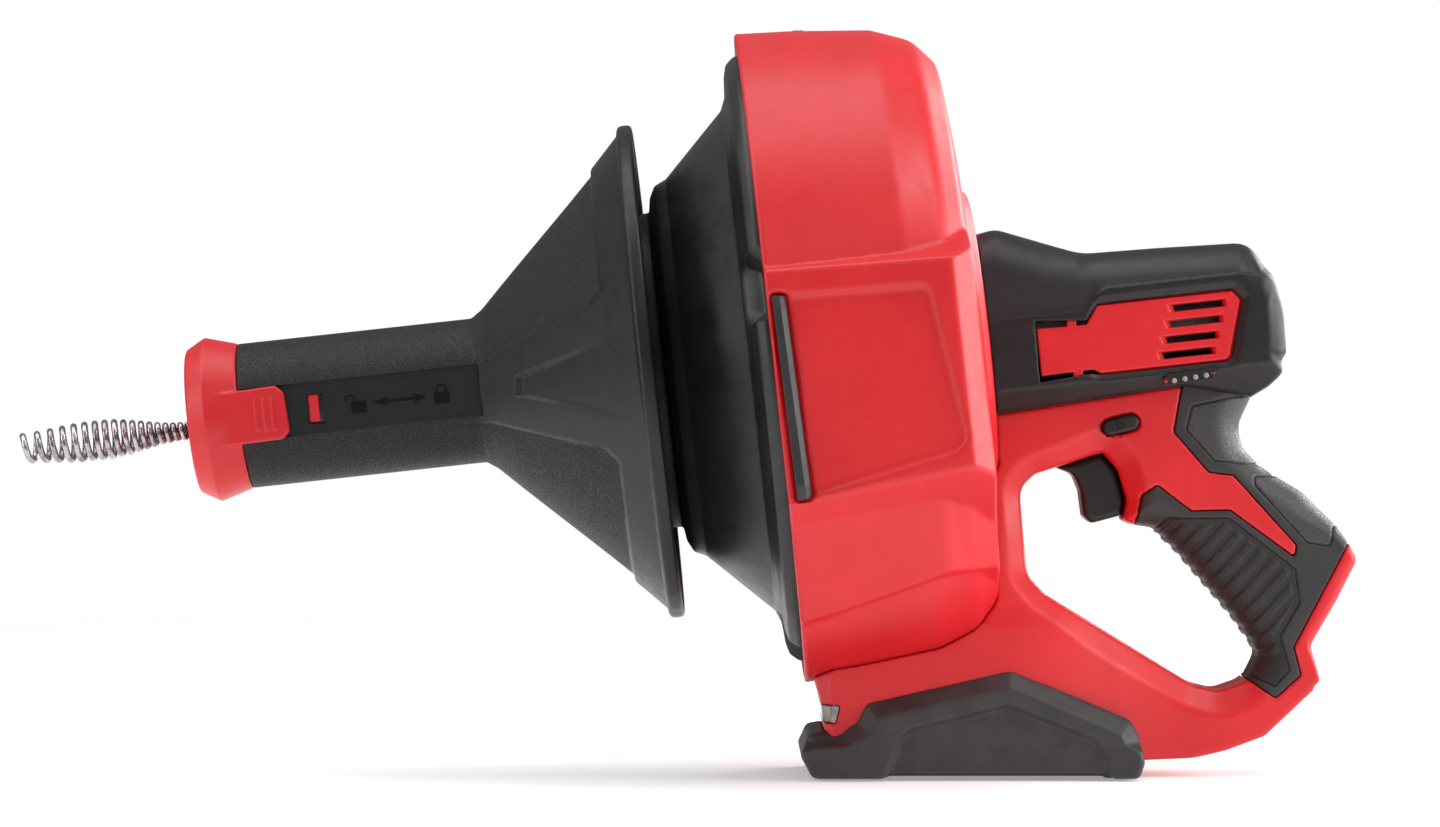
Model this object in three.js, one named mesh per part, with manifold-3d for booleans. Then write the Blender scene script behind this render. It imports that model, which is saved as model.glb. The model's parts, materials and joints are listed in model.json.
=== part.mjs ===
// Cordless hand-held drain snake. A loop handle carries a motor and a planetary gearbox, which turn
// a drum of coiled cable inside a two-part shroud. The cable leaves through the drum's neck and a
// sliding front grip, which closes three jaws on it when it is pulled back.
//
// Millimetres, +Z up. The origin is the middle of the foot's underside and the nose points along -X.
// Pieces on the drum's axis are built in the drive frame: +X runs along the axis towards the motor.
import * as THREE from "three";
import { mergeVertices } from "three/addons/utils/BufferGeometryUtils.js";
import Module from "manifold-3d";

const wasm = await Module();
wasm.setup();

// ---------------------------------------------------------------- driving dimensions

const GAP = 0.3; // between pieces that touch
const BIG_ROUND = 30; // sides of the largest round pieces
const SPLIT = GAP / 2; // each half shell stops this far from the middle plane

const AXIS_TILT = THREE.MathUtils.degToRad(6.25); // the drum's axis rises towards the motor
const AXIS_START = new THREE.Vector3(-71.8, 0, 147.6); // on the axis, at the shroud's front edge

const SHROUD_RADIUS = 116.2;
const SHROUD_WALL = 3;
const PAD_FACE = 116; // flat side pads, from the middle plane
const BUMPER_FACE = 117.6;

const HANDLE_HALF = 19.5; // half the handle's width
const SKIN = 2.2; // soft overmould on the grip
const HANDLE_WALL = 2.5;
const BASE_HALF = 33;
const BOOT_HALF = 40;
const COVER_HALF = 29.5; // motor cover
const COVER_WALL = 2.8;

const DRUM_RADIUS = 108.4;
const DRUM_WALL = 2.5;
const NECK_RADIUS = 56.4;
const GRIP_TUBE_RADIUS = 25.6;
const FUNNEL_RADIUS = 88;
const GRIP_WALL = 3;
const NOSE_HOLE = 8.2;

const CABLE_RADIUS = 3.175;
const CABLE_PITCH = 6.8; // from turn to turn on the drum
const CABLE_LAYERS = [
  { radius: 95, turns: 5.5 },
  { radius: 88, turns: 5.5 },
  { radius: 81, turns: 1.75 },
];
const CABLE_END = -207.5; // where the cable ends, just past the nose
const TIP_LENGTH = 59;
const TIP_TURNS = 17;
const TIP_WIRE = 1.15; // wire radius
const TIP_GAP = 1.5; // from the cable's end to the first turn

const GEAR_MODULE = 0.8;
const SUN_TEETH = 12;
const PLANET_TEETH = 18;
const RING_TEETH = 48;
const PLANET_ORBIT = (GEAR_MODULE * (SUN_TEETH + PLANET_TEETH)) / 2;

const CONE_SLOPE = 2 / 18; // the jaws close 2 mm while the grip slides 18 mm
const JAW_LENGTH = 13;
const JAW_PLACE = -165; // middle of the jaws along the axis

const SCREW = { head: 3, shank: 1.5, headLength: 2.4, length: 14, boss: 4.4 };

// ---------------------------------------------------------------- materials

const finish = (color, roughness, metalness = 0) =>
  new THREE.MeshStandardMaterial({ color, roughness, metalness, flatShading: true });
const RED = finish(0xdc2628, 0.35);
const BLACK = finish(0x353434, 0.45);
const GRIP = finish(0x3a3938, 0.7);
const DRUM = finish(0x2b2b2c, 0.4);
const RUBBER = finish(0x454443, 0.8);
const STEEL = finish(0xb9bbbe, 0.3, 1);
const DARK_STEEL = finish(0x6d7074, 0.4, 1);
const BRASS = finish(0xb08a3c, 0.35, 1);
const LENS = finish(0xe9eef2, 0.1);
const BOARD = finish(0x1f5c37, 0.6);
const INNER = finish(0x595a5c, 0.5);

// ---------------------------------------------------------------- shape helpers

// A closed three.js geometry as a manifold-3d solid, with its faces turned outwards.
function solidOf(geometry) {
  const bare = geometry.clone();
  bare.deleteAttribute("normal");
  bare.deleteAttribute("uv");
  const merged = mergeVertices(bare, 1e-4);
  const vertProperties = new Float32Array(merged.attributes.position.array);
  const index = merged.index.array;
  const faces = [];
  for (let i = 0; i < index.length; i += 3) {
    const [a, b, c] = [index[i], index[i + 1], index[i + 2]];
    if (a !== b && b !== c && c !== a) faces.push([a, b, c]);
  }
  const made = (list) =>
    new wasm.Manifold(
      new wasm.Mesh({ numProp: 3, vertProperties, triVerts: new Uint32Array(list.flat()) }),
    );
  const solid = made(faces);
  return solid.volume() < 0 ? made(faces.map(([a, b, c]) => [a, c, b])) : solid;
}

const asSolid = (shape) => (shape.isBufferGeometry ? solidOf(shape) : shape);
const join = (...shapes) => shapes.map(asSolid).reduce((a, b) => a.add(b));
const cut = (shape, ...tools) => tools.map(asSolid).reduce((a, b) => a.subtract(b), asSolid(shape));
const common = (...shapes) => shapes.map(asSolid).reduce((a, b) => a.intersect(b));

function geometryOf(solid) {
  const mesh = solid.getMesh();
  const geometry = new THREE.BufferGeometry();
  geometry.setAttribute("position", new THREE.BufferAttribute(mesh.vertProperties, 3));
  geometry.setIndex(new THREE.BufferAttribute(mesh.triVerts, 1));
  geometry.computeVertexNormals();
  return geometry;
}

const model = new THREE.Group();
const driveLine = new THREE.Group(); // everything on the drum's axis
driveLine.position.copy(AXIS_START);
driveLine.rotation.y = -AXIS_TILT;
driveLine.updateMatrix();
model.add(driveLine);

function add(group, name, shape, material) {
  const mesh = new THREE.Mesh(geometryOf(asSolid(shape)), material);
  mesh.name = name;
  group.add(mesh);
  return mesh;
}

// A shape that lies along +X, turned down by tilt and moved to a point in the XZ plane.
function aimed(shape, tilt, [x, z]) {
  const geometry = shape.isBufferGeometry ? shape.clone() : geometryOf(shape);
  return geometry.rotateY(tilt).translate(x, 0, z);
}

const inDriveFrame = (geometry) => geometry.clone().applyMatrix4(driveLine.matrix);
const solidInDriveFrame = (solid) => solidOf(inDriveFrame(geometryOf(solid)));

// Profile points are [along the axis, radius]. A profile that leaves the axis closes on itself.
function revolve(profile, segments = 20) {
  const points = profile.map(([along, radius]) => new THREE.Vector2(radius, along));
  const onAxis = points[0].x === 0 && points.at(-1).x === 0;
  if (!onAxis) points.push(points[0].clone());
  return new THREE.LatheGeometry(points, segments).rotateZ(-Math.PI / 2);
}

const rod = (radius, from, to, segments = 16) =>
  revolve([[from, 0], [from, radius], [to, radius], [to, 0]], segments);
const ring = (inner, outer, from, to, segments = 18) =>
  revolve([[from, inner], [from, outer], [to, outer], [to, inner]], segments);

const block = (x0, x1, y0, y1, z0, z1) =>
  new THREE.BoxGeometry(x1 - x0, y1 - y0, z1 - z0).translate((x0 + x1) / 2, (y0 + y1) / 2, (z0 + z1) / 2);

function shapeOf(outline, hole) {
  const shape = new THREE.Shape(outline.map(([x, y]) => new THREE.Vector2(x, y)));
  if (hole) shape.holes.push(new THREE.Path(hole.map(([x, y]) => new THREE.Vector2(x, y))));
  return shape;
}

// An outline in the XZ plane, extruded from y0 to y1. Its edges are bevelled and it may be inset.
function plate(outline, y0, y1, { bevel = 0, inset = 0, hole = null, steps = 1 } = {}) {
  const rounded = bevel > 0 || inset !== 0;
  const thickness = rounded ? Math.max(bevel, 0.01) : 0;
  const turn = new THREE.Matrix4().makeBasis(
    new THREE.Vector3(1, 0, 0), new THREE.Vector3(0, 0, 1), new THREE.Vector3(0, -1, 0));
  return new THREE.ExtrudeGeometry(shapeOf(outline, hole), {
    depth: y1 - y0 - 2 * thickness,
    bevelEnabled: rounded,
    bevelThickness: thickness,
    bevelSize: bevel,
    bevelOffset: -inset - bevel,
    bevelSegments: steps,
  })
    .translate(0, 0, -y1 + thickness)
    .applyMatrix4(turn);
}

// A shape in the YZ plane, extruded along X.
function slab(shape, x0, x1) {
  const turn = new THREE.Matrix4().makeBasis(
    new THREE.Vector3(0, 1, 0), new THREE.Vector3(0, 0, 1), new THREE.Vector3(1, 0, 0));
  return new THREE.ExtrudeGeometry(shape, { depth: x1 - x0, bevelEnabled: false })
    .applyMatrix4(turn)
    .translate(x0, 0, 0);
}

// A vertical prism on a plan outline in the XY plane.
const prism = (plan, z0, z1) =>
  new THREE.ExtrudeGeometry(shapeOf(plan), { depth: z1 - z0, bevelEnabled: false }).translate(0, 0, z0);

const rodAlongY = (radius, x, z, y0, y1, segments = 8) =>
  new THREE.CylinderGeometry(radius, radius, y1 - y0, segments).translate(x, (y0 + y1) / 2, z);

function circle(radius, sides) {
  const shape = new THREE.Shape();
  for (let i = 0; i < sides; i++) {
    const angle = (2 * Math.PI * i) / sides;
    const corner = [radius * Math.cos(angle), radius * Math.sin(angle)];
    if (i) shape.lineTo(...corner);
    else shape.moveTo(...corner);
  }
  return shape;
}

const sweep = (section, curve, steps) =>
  new THREE.ExtrudeGeometry(section, { extrudePath: curve, steps, bevelEnabled: false });

// The two halves of a shell that is split on the middle plane: left is -Y, right is +Y.
const FAR = 400;
const half = (solid, side) =>
  side === "left"
    ? common(solid, block(-FAR, FAR, -FAR, -SPLIT, -FAR, FAR))
    : common(solid, block(-FAR, FAR, SPLIT, FAR, -FAR, FAR));
const SIDES = ["left", "right"];
const mirrored = (outline) => outline.map(([x, y]) => [x, -y]);

// ---------------------------------------------------------------- shroud and its side pads

const SHROUD_PROFILE = [
  [0, SHROUD_RADIUS], [20, 115.1], [50, 111.8], [60.1, 107.6], [69.2, 98.8], [71.4, 82.6], [73.3, 54],
  [76.3, 50.1], [77.1, 36],
];
const SHROUD_BACK = 77.1;
const SPINDLE_PORT = 19; // hole in the shroud's back wall

// Each profile point moved outwards by distance.
function offsetProfile(profile, distance) {
  return profile.map((point, i) => {
    const before = profile[Math.max(i - 1, 0)];
    const after = profile[Math.min(i + 1, profile.length - 1)];
    const along = new THREE.Vector2(after[0] - before[0], after[1] - before[1]).normalize();
    return [point[0] - along.y * distance, point[1] + along.x * distance];
  });
}

const PAD_OUTLINE = [
  [-4, 31.7], [62, 29.6], [68, 34.6], [74, 34.6], [74, -47], [67, -45], [4, -54], [-4, -54],
];
const PAD_ROOT = 88; // where the pads start, inside the barrel
const PAD_PLAN = [
  [0, PAD_ROOT + 2], [0, PAD_FACE], [63, PAD_FACE], [70, 107.5], [70, PAD_ROOT + 2],
];

// The shroud as a filled body, grown by distance, with both side pads.
function shroudBody(distance, front) {
  const skin = offsetProfile(SHROUD_PROFILE, distance);
  const back = SHROUD_BACK + distance;
  const ends = [[[front, 0], [front, skin[0][1]]], [[back, skin.at(-1)[1]], [back, 0]]];
  const body = revolve([...ends[0], ...skin, ...ends[1]], BIG_ROUND);
  const plan = PAD_PLAN.map(([x, y], i) => [i < 2 ? front : x + distance, y + distance]);
  const pad = (towards) => {
    const outline = towards > 0 ? plan : mirrored(plan);
    const reach = PAD_FACE + distance;
    const [y0, y1] = towards > 0 ? [PAD_ROOT, reach] : [-reach, -PAD_ROOT];
    const bevel = distance < 0 ? 0 : 4;
    return common(plate(PAD_OUTLINE, y0, y1, { bevel, inset: -distance }), prism(outline, -70, 50));
  };
  return join(body, pad(1), pad(-1));
}

const BUMPER_OUTLINE = [
  [2.2, 18.6], [3, 19.5], [6.2, 19.3], [7.4, 18], [7.6, -48], [6.8, -49], [3.6, -49.4], [2.4, -48],
];
const BUMPER_SEAT = PAD_FACE - 2.4; // floor of the bumper's slot

function addShroud() {
  const shell = cut(
    shroudBody(0, 0),
    shroudBody(-SHROUD_WALL, -6),
    rod(SPINDLE_PORT, 60, 90),
    plate(BUMPER_OUTLINE, -FAR, -BUMPER_SEAT, { inset: -GAP }),
    plate(BUMPER_OUTLINE, BUMPER_SEAT, FAR, { inset: -GAP }),
  );
  for (const side of SIDES) {
    add(driveLine, `shroud_${side}`, half(shell, side), RED);
    const back = BUMPER_SEAT + GAP;
    const [y0, y1] = side === "left" ? [-BUMPER_FACE, -back] : [back, BUMPER_FACE];
    add(driveLine, `side_bumper_${side}`, plate(BUMPER_OUTLINE, y0, y1, { bevel: 0.8 }), RUBBER);
  }
}

// ---------------------------------------------------------------- drum, spindle and cable

const NECK_FRONT = -50.5;
const NECK_TUBE = { front: -178, bore: 9, radius: 14 };

function addDrum() {
  const hole = NECK_TUBE.radius + 0.5;
  add(driveLine, "drum_front", revolve([
    [NECK_FRONT, hole], [NECK_FRONT, 51], [-48.8, NECK_RADIUS - 1], [-36.8, NECK_RADIUS],
    [-35.5, 63.3], [-31.2, 67.1], [-29.7, 67.4], [-6.8, 90.4], [-5.5, 100.5],
    [-2.6, 107.4], [30, DRUM_RADIUS], [30, DRUM_RADIUS - DRUM_WALL], [0.6, 105.7],
    [-2.9, 99.5], [-5, 88.6], [-28, 65.6], [-33.4, 61.2], [-33.8, 53.7], [-48, 53.6], [-48, hole],
  ], BIG_ROUND), DRUM);
  add(driveLine, "drum_rear", revolve([
    [30.3, DRUM_RADIUS], [48, 105], [59, 96], [63.5, 84], [65.5, 22],
    [68, 22], [68, 6.4], [44, 6.4], [44, 14], [61.5, 17], [61, 82], [57, 94], [47, 102.3],
    [30.3, DRUM_RADIUS - DRUM_WALL],
  ], BIG_ROUND), DRUM);
  add(driveLine, "drum_neck_tube", cut(
    revolve([
      [NECK_TUBE.front, NECK_TUBE.bore], [NECK_TUBE.front, NECK_TUBE.radius], [-47.7, NECK_TUBE.radius],
      [-47.7, 30], [-45, 30], [-45, NECK_TUBE.bore],
    ]),
    ...jawWindows(),
  ), DARK_STEEL);
  add(driveLine, "drive_spindle", rod(6, 34, 90.2, 20), STEEL);
  add(driveLine, "spindle_nut", cut(rod(11, 38, 43.6, 6), rod(6.4, 30, 50, 20)), STEEL);
}

// The cable's centre line on the drum: layers of turns, a spiral to the axis, then straight to the nose.
class CableCurve extends THREE.Curve {
  constructor() {
    super();
    this.points = [];
    const perTurn = 12;
    let angle = 0;
    let along = 6;
    let direction = 1;
    for (const [i, { radius, turns }] of CABLE_LAYERS.entries()) {
      const steps = Math.round(turns * perTurn);
      const inner = CABLE_LAYERS[i + 1]?.radius ?? radius;
      for (let k = 0; k < steps; k++) {
        const drop = Math.max(0, (k - steps + perTurn / 2) / (perTurn / 2));
        this.push(angle, THREE.MathUtils.lerp(radius, inner, drop), along);
        angle += (2 * Math.PI) / perTurn;
        along += (direction * CABLE_PITCH) / perTurn;
      }
      direction = -direction;
    }
    const leadSteps = 12;
    for (let k = 0; k < leadSteps; k++) {
      const done = k / leadSteps;
      const eased = THREE.MathUtils.smoothstep(done, 0, 1);
      this.push(angle, CABLE_LAYERS.at(-1).radius * (1 - eased), THREE.MathUtils.lerp(along, -42, done));
      angle += (2 * Math.PI) / perTurn;
    }
    for (const x of [-60, -110, -160, -185]) this.points.push(new THREE.Vector3(x, 0, 0));
    this.points.push(new THREE.Vector3(CABLE_END, 0, -1.6));
    this.spline = new THREE.CatmullRomCurve3(this.points);
  }

  push(angle, radius, along) {
    this.points.push(new THREE.Vector3(along, radius * Math.cos(angle), radius * Math.sin(angle)));
  }

  getPoint(t) {
    return this.spline.getPoint(t);
  }
}

// The open coil on the cable's end: close turns that swell into a bulb and taper to the tip.
class TipCurve extends THREE.Curve {
  getPoint(t) {
    const distance = TIP_LENGTH * t;
    const swell = THREE.MathUtils.smoothstep(distance, 2, 30);
    const taper = THREE.MathUtils.smoothstep(distance, 36, TIP_LENGTH);
    const radius = 2.3 + 3.85 * swell - 1.65 * taper;
    const turns = TIP_TURNS * (t + 0.36 * t * (1 - t));
    const angle = 2 * Math.PI * turns;
    return new THREE.Vector3(
      CABLE_END - TIP_GAP - distance,
      radius * Math.sin(angle),
      -3 + radius * Math.cos(angle),
    );
  }
}

function addCable() {
  const curve = new CableCurve();
  add(driveLine, "snake_cable", sweep(circle(CABLE_RADIUS, 5), curve, curve.points.length - 1), DARK_STEEL);
  add(driveLine, "auger_tip", sweep(circle(TIP_WIRE, 4), new TipCurve(), TIP_TURNS * 8), STEEL);
}

// ---------------------------------------------------------------- front grip, nose and cable lock

const CONE = { front: -191, back: -157, outer: 20 };
const coneRadius = (along) => 17.8 + CONE_SLOPE * (along - JAW_PLACE);
const JAW_COUNT = 3;
const JAW_HALF = 3; // half a jaw's width
const aboutAxis = (geometry, count, i) => geometry.clone().rotateX((2 * Math.PI * i) / count);

function jawWindows() {
  const reach = JAW_LENGTH / 2 + GAP;
  const across = JAW_HALF + GAP;
  const window = block(JAW_PLACE - reach, JAW_PLACE + reach, -across, across, 5, 20);
  return Array.from({ length: JAW_COUNT }, (_, i) => aboutAxis(window, JAW_COUNT, i));
}

function addJaws() {
  const [u0, u1] = [JAW_PLACE - JAW_LENGTH / 2, JAW_PLACE + JAW_LENGTH / 2];
  const side = [[u0, 5.6], [u1, 5.6], [u1, coneRadius(u1) - 0.9], [u0, coneRadius(u0) - 0.9]];
  const jaw = plate(side, -JAW_HALF, JAW_HALF);
  for (let i = 0; i < JAW_COUNT; i++)
    add(driveLine, `cable_jaw_${i + 1}`, aboutAxis(jaw, JAW_COUNT, i), STEEL);
}

const TUBE_FRONT = -187.6;
const CONE_START = -103;
const LABEL_FLAT = 23.6; // flat panels on both sides of the tube

function addFrontGrip() {
  const inner = GRIP_TUBE_RADIUS - GRIP_WALL;
  const grip = revolve([
    [TUBE_FRONT, GRIP_TUBE_RADIUS], [CONE_START, GRIP_TUBE_RADIUS], [-56.6, 70.9], [-54.3, 75.3],
    [-44.5, 86], [-43.4, FUNNEL_RADIUS], [-40, FUNNEL_RADIUS], [-40, FUNNEL_RADIUS - 2.6],
    [-43, 83.8], [-53.6, 72.2], [-55.6, 68.3], [CONE_START + 1.2, inner], [TUBE_FRONT, inner],
  ], BIG_ROUND);
  const flat = (y0, y1) => block(TUBE_FRONT - 5, CONE_START, y0, y1, -10, 10);
  const window = block(-163.9, -158.2, -30, -20, -5.7, 5.7);
  add(driveLine, "front_grip", cut(grip, flat(-30, -LABEL_FLAT), flat(LABEL_FLAT, 30), window), BLACK);

  const cap = revolve([
    [-206.4, NOSE_HOLE], [-206.4, 26.1], [-199.5, 29.3], [-188, GRIP_TUBE_RADIUS], [-188, 21.4],
    [-202.4, 21.4], [-203.4, NOSE_HOLE],
  ], 24);
  const arm = (y0, y1) => block(-192, -170, y0, y1, -9.6, 9.6);
  const armFace = 26.4;
  const arms = [arm(-armFace, -LABEL_FLAT - GAP), arm(LABEL_FLAT + GAP, armFace)];
  add(driveLine, "nose_cap", join(cap, ...arms), RED);
  add(driveLine, "lock_indicator", block(-162.9, -159.3, -23.4, -21.2, -5, 5), RED);
  add(driveLine, "grip_bearing", ring(CONE.outer + GAP, inner - GAP, -186, -177), STEEL);
  add(driveLine, "lock_cone", revolve([
    [CONE.front, coneRadius(CONE.front)], [CONE.front, CONE.outer], [CONE.back, CONE.outer],
    [CONE.back, coneRadius(CONE.back)],
  ]), STEEL);
  add(driveLine, "grip_bush", ring(NECK_TUBE.radius + GAP, inner - GAP, -136, -116), INNER);
}

// ---------------------------------------------------------------- gearbox and motor

// A gear's outline. Its teeth are trapezoids, with a tooth centred on each angle start + k * pitch.
function gearPoints(teeth, tip, root, start) {
  const pitch = (2 * Math.PI) / teeth;
  const [atRoot, atTip] = [0.3, 0.13]; // half a tooth's width, as a share of the pitch
  const points = [];
  for (let k = 0; k < teeth; k++)
    for (const [share, radius] of [[-atRoot, root], [-atTip, tip], [atTip, tip], [atRoot, root]]) {
      const angle = start + pitch * (k + share);
      points.push([radius * Math.cos(angle), radius * Math.sin(angle)]);
    }
  return points;
}

const ADDENDUM = 0.7 * GEAR_MODULE;
const DEDENDUM = 1.2 * GEAR_MODULE;
const pitchRadius = (teeth) => (GEAR_MODULE * teeth) / 2;
const GEARBOX = { radius: 24, bore: 22, front: 80.5, back: 112 };

function addGearbox() {
  const { radius, bore, front, back } = GEARBOX;
  add(driveLine, "gearbox_housing", revolve([
    [70, 14.4], [70, 18], [front, 18], [front, radius], [back, radius], [back, bore], [84.5, bore],
    [84.5, 8], [82.3, 8], [82.3, 14.4],
  ]), DARK_STEEL);
  add(driveLine, "spindle_bearing", ring(6.3, 14.1, 71, 82), STEEL);

  const sun = shapeOf(gearPoints(
    SUN_TEETH, pitchRadius(SUN_TEETH) + ADDENDUM, pitchRadius(SUN_TEETH) - DEDENDUM, 0));
  add(driveLine, "sun_gear", cut(slab(sun, 92, 102), rod(2.6, 80, 110, 8)), STEEL);

  const planet = cut(
    slab(shapeOf(gearPoints(
      PLANET_TEETH, pitchRadius(PLANET_TEETH) + ADDENDUM, pitchRadius(PLANET_TEETH) - DEDENDUM,
      Math.PI / PLANET_TEETH)), 92.5, 101.5),
    rod(2.4, 80, 110, 6),
  );
  const planetPin = rod(2, 88, 103, 6).translate(0, PLANET_ORBIT, 0);
  const pins = [];
  for (let i = 0; i < 3; i++) {
    const mesh = add(driveLine, `planet_gear_${i + 1}`, planet, STEEL);
    const angle = (2 * Math.PI * i) / 3;
    mesh.rotation.x = angle;
    mesh.position.set(0, PLANET_ORBIT * Math.cos(angle), PLANET_ORBIT * Math.sin(angle));
    pins.push(aboutAxis(planetPin, 3, i));
  }
  add(driveLine, "planet_carrier", join(ring(6.3, 17, 86, 90.2), ...pins), STEEL);

  const ringPitch = pitchRadius(RING_TEETH);
  const inside = gearPoints(RING_TEETH, ringPitch - ADDENDUM, ringPitch + DEDENDUM, 0);
  const gearRing = circle(bore - GAP, 32);
  gearRing.holes.push(new THREE.Path(inside.map(([y, z]) => new THREE.Vector2(y, z))));
  add(driveLine, "ring_gear", slab(gearRing, 92, 102), STEEL);
}

const MOTOR = { front: 116, back: 166, radius: 18.5, wall: 2 };

function addMotor() {
  const { front, back, radius, wall } = MOTOR;
  const inner = radius - wall;
  add(driveLine, "motor_front_plate", ring(3.2, 22, 112.5, front - GAP), DARK_STEEL);
  add(driveLine, "motor_can", revolve([
    [front, inner], [front, radius], [back, radius], [back, 3.2], [back - wall, 3.2], [back - wall, inner],
  ]), DARK_STEEL);
  add(driveLine, "motor_magnets", ring(13, inner - GAP, 124, 158), INNER);
  add(driveLine, "motor_rotor", revolve([
    [92, 0], [92, 2.2], [126, 2.2], [126, 12], [156, 12], [156, 2.2], [169, 2.2], [169, 0],
  ], 20), BRASS);
}

// ---------------------------------------------------------------- motor cover

const COVER_OUTLINE = [
  [1.4, 191.9], [10, 193], [38.2, 185.4], [66.1, 186.8], [98, 188.6], [106, 181], [112.6, 150],
  [104.9, 137.5], [98.4, 133.7], [74.1, 137.6], [8.5, 127.4],
];
const VENT_OUTLINE = [
  [21.4, 160.1], [39.3, 160.4], [43.1, 166.1], [90.7, 171.4], [93.8, 168], [90.4, 148.2], [89.2, 147],
  [40.8, 141.5], [38.5, 142.5], [23.3, 139.6],
];
const GAUGE_OUTLINE = [[67.4, 141.9], [85.1, 144.3], [84.1, 140.3], [65.9, 137.9]];
const VENT_SLOTS = [[78.5, 165.9], [77.3, 160.3], [76, 154.7], [74.8, 149.2]];
const SLOT_LENGTH = 20;
const SLOT_HEIGHT = 2.3;
const POCKET = 1.5;

const ventSlots = (y0, y1) =>
  VENT_SLOTS.map(([x, z]) =>
    block(-SLOT_LENGTH / 2, SLOT_LENGTH / 2, y0, y1, -SLOT_HEIGHT / 2, SLOT_HEIGHT / 2)
      .rotateY(-AXIS_TILT)
      .translate(x, 0, z));

// Each screw's place in the XZ plane, and the distance of the shell's face from the middle plane.
const COVER_SCREWS = [[11.5, 186, 26], [103, 143.5, 27], [98, 180.6, 28]];

function addMotorCover() {
  const outside = plate(COVER_OUTLINE, -COVER_HALF, COVER_HALF, { bevel: 7, steps: 2 });
  const inside = plate(COVER_OUTLINE, -COVER_HALF + COVER_WALL, COVER_HALF - COVER_WALL, {
    bevel: 3, inset: COVER_WALL,
  });
  const airWay = block(66, 86, -40, 40, 146, 168);
  const pocket = (outline, y0, y1) => plate(outline, y0, y1, { inset: -GAP });
  const floor = COVER_HALF - POCKET;
  const shell = cut(
    outside,
    inside,
    airWay,
    inDriveFrame(rod(18.4, 70, 90)),
    inDriveFrame(rod(GEARBOX.radius + GAP, 79, GEARBOX.back + 1)),
    pocket(VENT_OUTLINE, -40, -floor),
    pocket(VENT_OUTLINE, floor, 40),
    pocket(GAUGE_OUTLINE, -40, -floor),
  );
  addHalves("motor_cover", shell, outside, COVER_SCREWS, BLACK, "cover_screw");
  for (const side of SIDES) {
    const [y0, y1] = side === "left" ? [-COVER_HALF - 0.4, -floor - GAP] : [floor + GAP, COVER_HALF + 0.4];
    add(model, `vent_panel_${side}`, cut(plate(VENT_OUTLINE, y0, y1), ...ventSlots(-40, 40)), RED);
  }
  add(model, "fuel_gauge_panel", plate(GAUGE_OUTLINE, -COVER_HALF - 0.1, -floor - GAP), BLACK);
}

// Both halves of a shell. Each screw has a boss in both halves, and its head sinks in the right one.
const SEAT_DEPTH = 6;

function addHalves(name, shell, envelope, screws, material, screwName) {
  for (const side of SIDES) {
    let piece = half(shell, side);
    for (const [x, z, face] of screws) {
      const [y0, y1] = side === "left" ? [-face, -SPLIT] : [SPLIT, face];
      const boss = common(envelope, rodAlongY(SCREW.boss, x, z, y0, y1));
      piece = cut(join(piece, boss), rodAlongY(SCREW.shank + GAP, x, z, -SCREW.length, FAR, 6));
      if (side === "right") piece = cut(piece, rodAlongY(SCREW.head + GAP, x, z, face - SEAT_DEPTH, FAR));
    }
    add(model, `${name}_${side}`, piece, material);
  }
  screws.forEach(([x, z, face], i) => {
    const seat = face - SEAT_DEPTH + GAP;
    const screw = join(
      rodAlongY(SCREW.head, x, z, seat, seat + SCREW.headLength),
      rodAlongY(SCREW.shank, x, z, -SCREW.length + 2, seat + 1, 6),
    );
    add(model, `${screwName}_${i + 1}`, screw, DARK_STEEL);
  });
}

// ---------------------------------------------------------------- handle frame, grip and base

const FRAME_OUTLINE = [
  [-55.4, 36], [-53.2, 19.5], [-48, 3.4], [61.7, 5.6], [89.3, 8.2], [103.5, 13.3], [123.4, 32.5],
  [120.8, 45], [136.4, 76.5], [109.4, 105.6], [99.5, 112], [95.4, 121], [98.2, 133.3], [74, 137.2],
  [7.9, 127], [-6, 125], [-30, 70],
];
const LOOP_OUTLINE = [
  [22.8, 106.4], [17.2, 98], [19.3, 72.6], [25.1, 64.4], [78.4, 31.9], [88, 30.2], [97.5, 34.3],
  [100.8, 44.1], [93.8, 55.4], [73.9, 78.7], [65.3, 86.5], [54.5, 89.6], [55, 98], [50.7, 110.1],
  [46.3, 114.3],
];
// The overmould's edge on the side of the grip; the red band ends in a point inside it.
const OVERMOULD_OUTLINE = [
  [74.5, 142], [71.1, 121.6], [83.5, 107.4], [92.1, 106.3], [114.3, 81.5], [113.7, 77.2], [90.8, 93.8],
  [77.1, 93.4], [65.1, 102.4], [60, 99], [59.1, 93.8], [57.4, 89], [57.4, 70], [84, 46], [95.4, 35.2],
  [106.9, 27.3], [116.1, 35.5], [113.3, 45.5], [134.4, 82.2], [150, 110], [110, 142],
];
const BASE_OUTLINE = [
  [-55.4, 36], [-54.6, 28.1], [-53.6, 24.6], [-53.2, 19.5], [-52.1, 16.3], [-50.2, 12.4], [-48, 3.4],
  [56, 3.4], [70, 7], [76, 33], [25, 64], [12, 80], [-30, 80],
];
const BASE_PLAN = [
  [-57, 26], [-50, BASE_HALF], [20, BASE_HALF], [78, 17], [78, -17], [20, -BASE_HALF],
  [-50, -BASE_HALF], [-57, -26],
];
const LENS_OUTLINE = [[-53.7, 24.7], [-47.4, 24.6], [-48.7, 18.6], [-52.9, 18.8]];
const FRAME_SCREWS = [
  [20.5, 116.5, HANDLE_HALF], [66, 123.5, HANDLE_HALF], [100.5, 22.5, HANDLE_HALF],
  [48, 35.5, 25], [14, 50, BASE_HALF],
];

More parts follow.
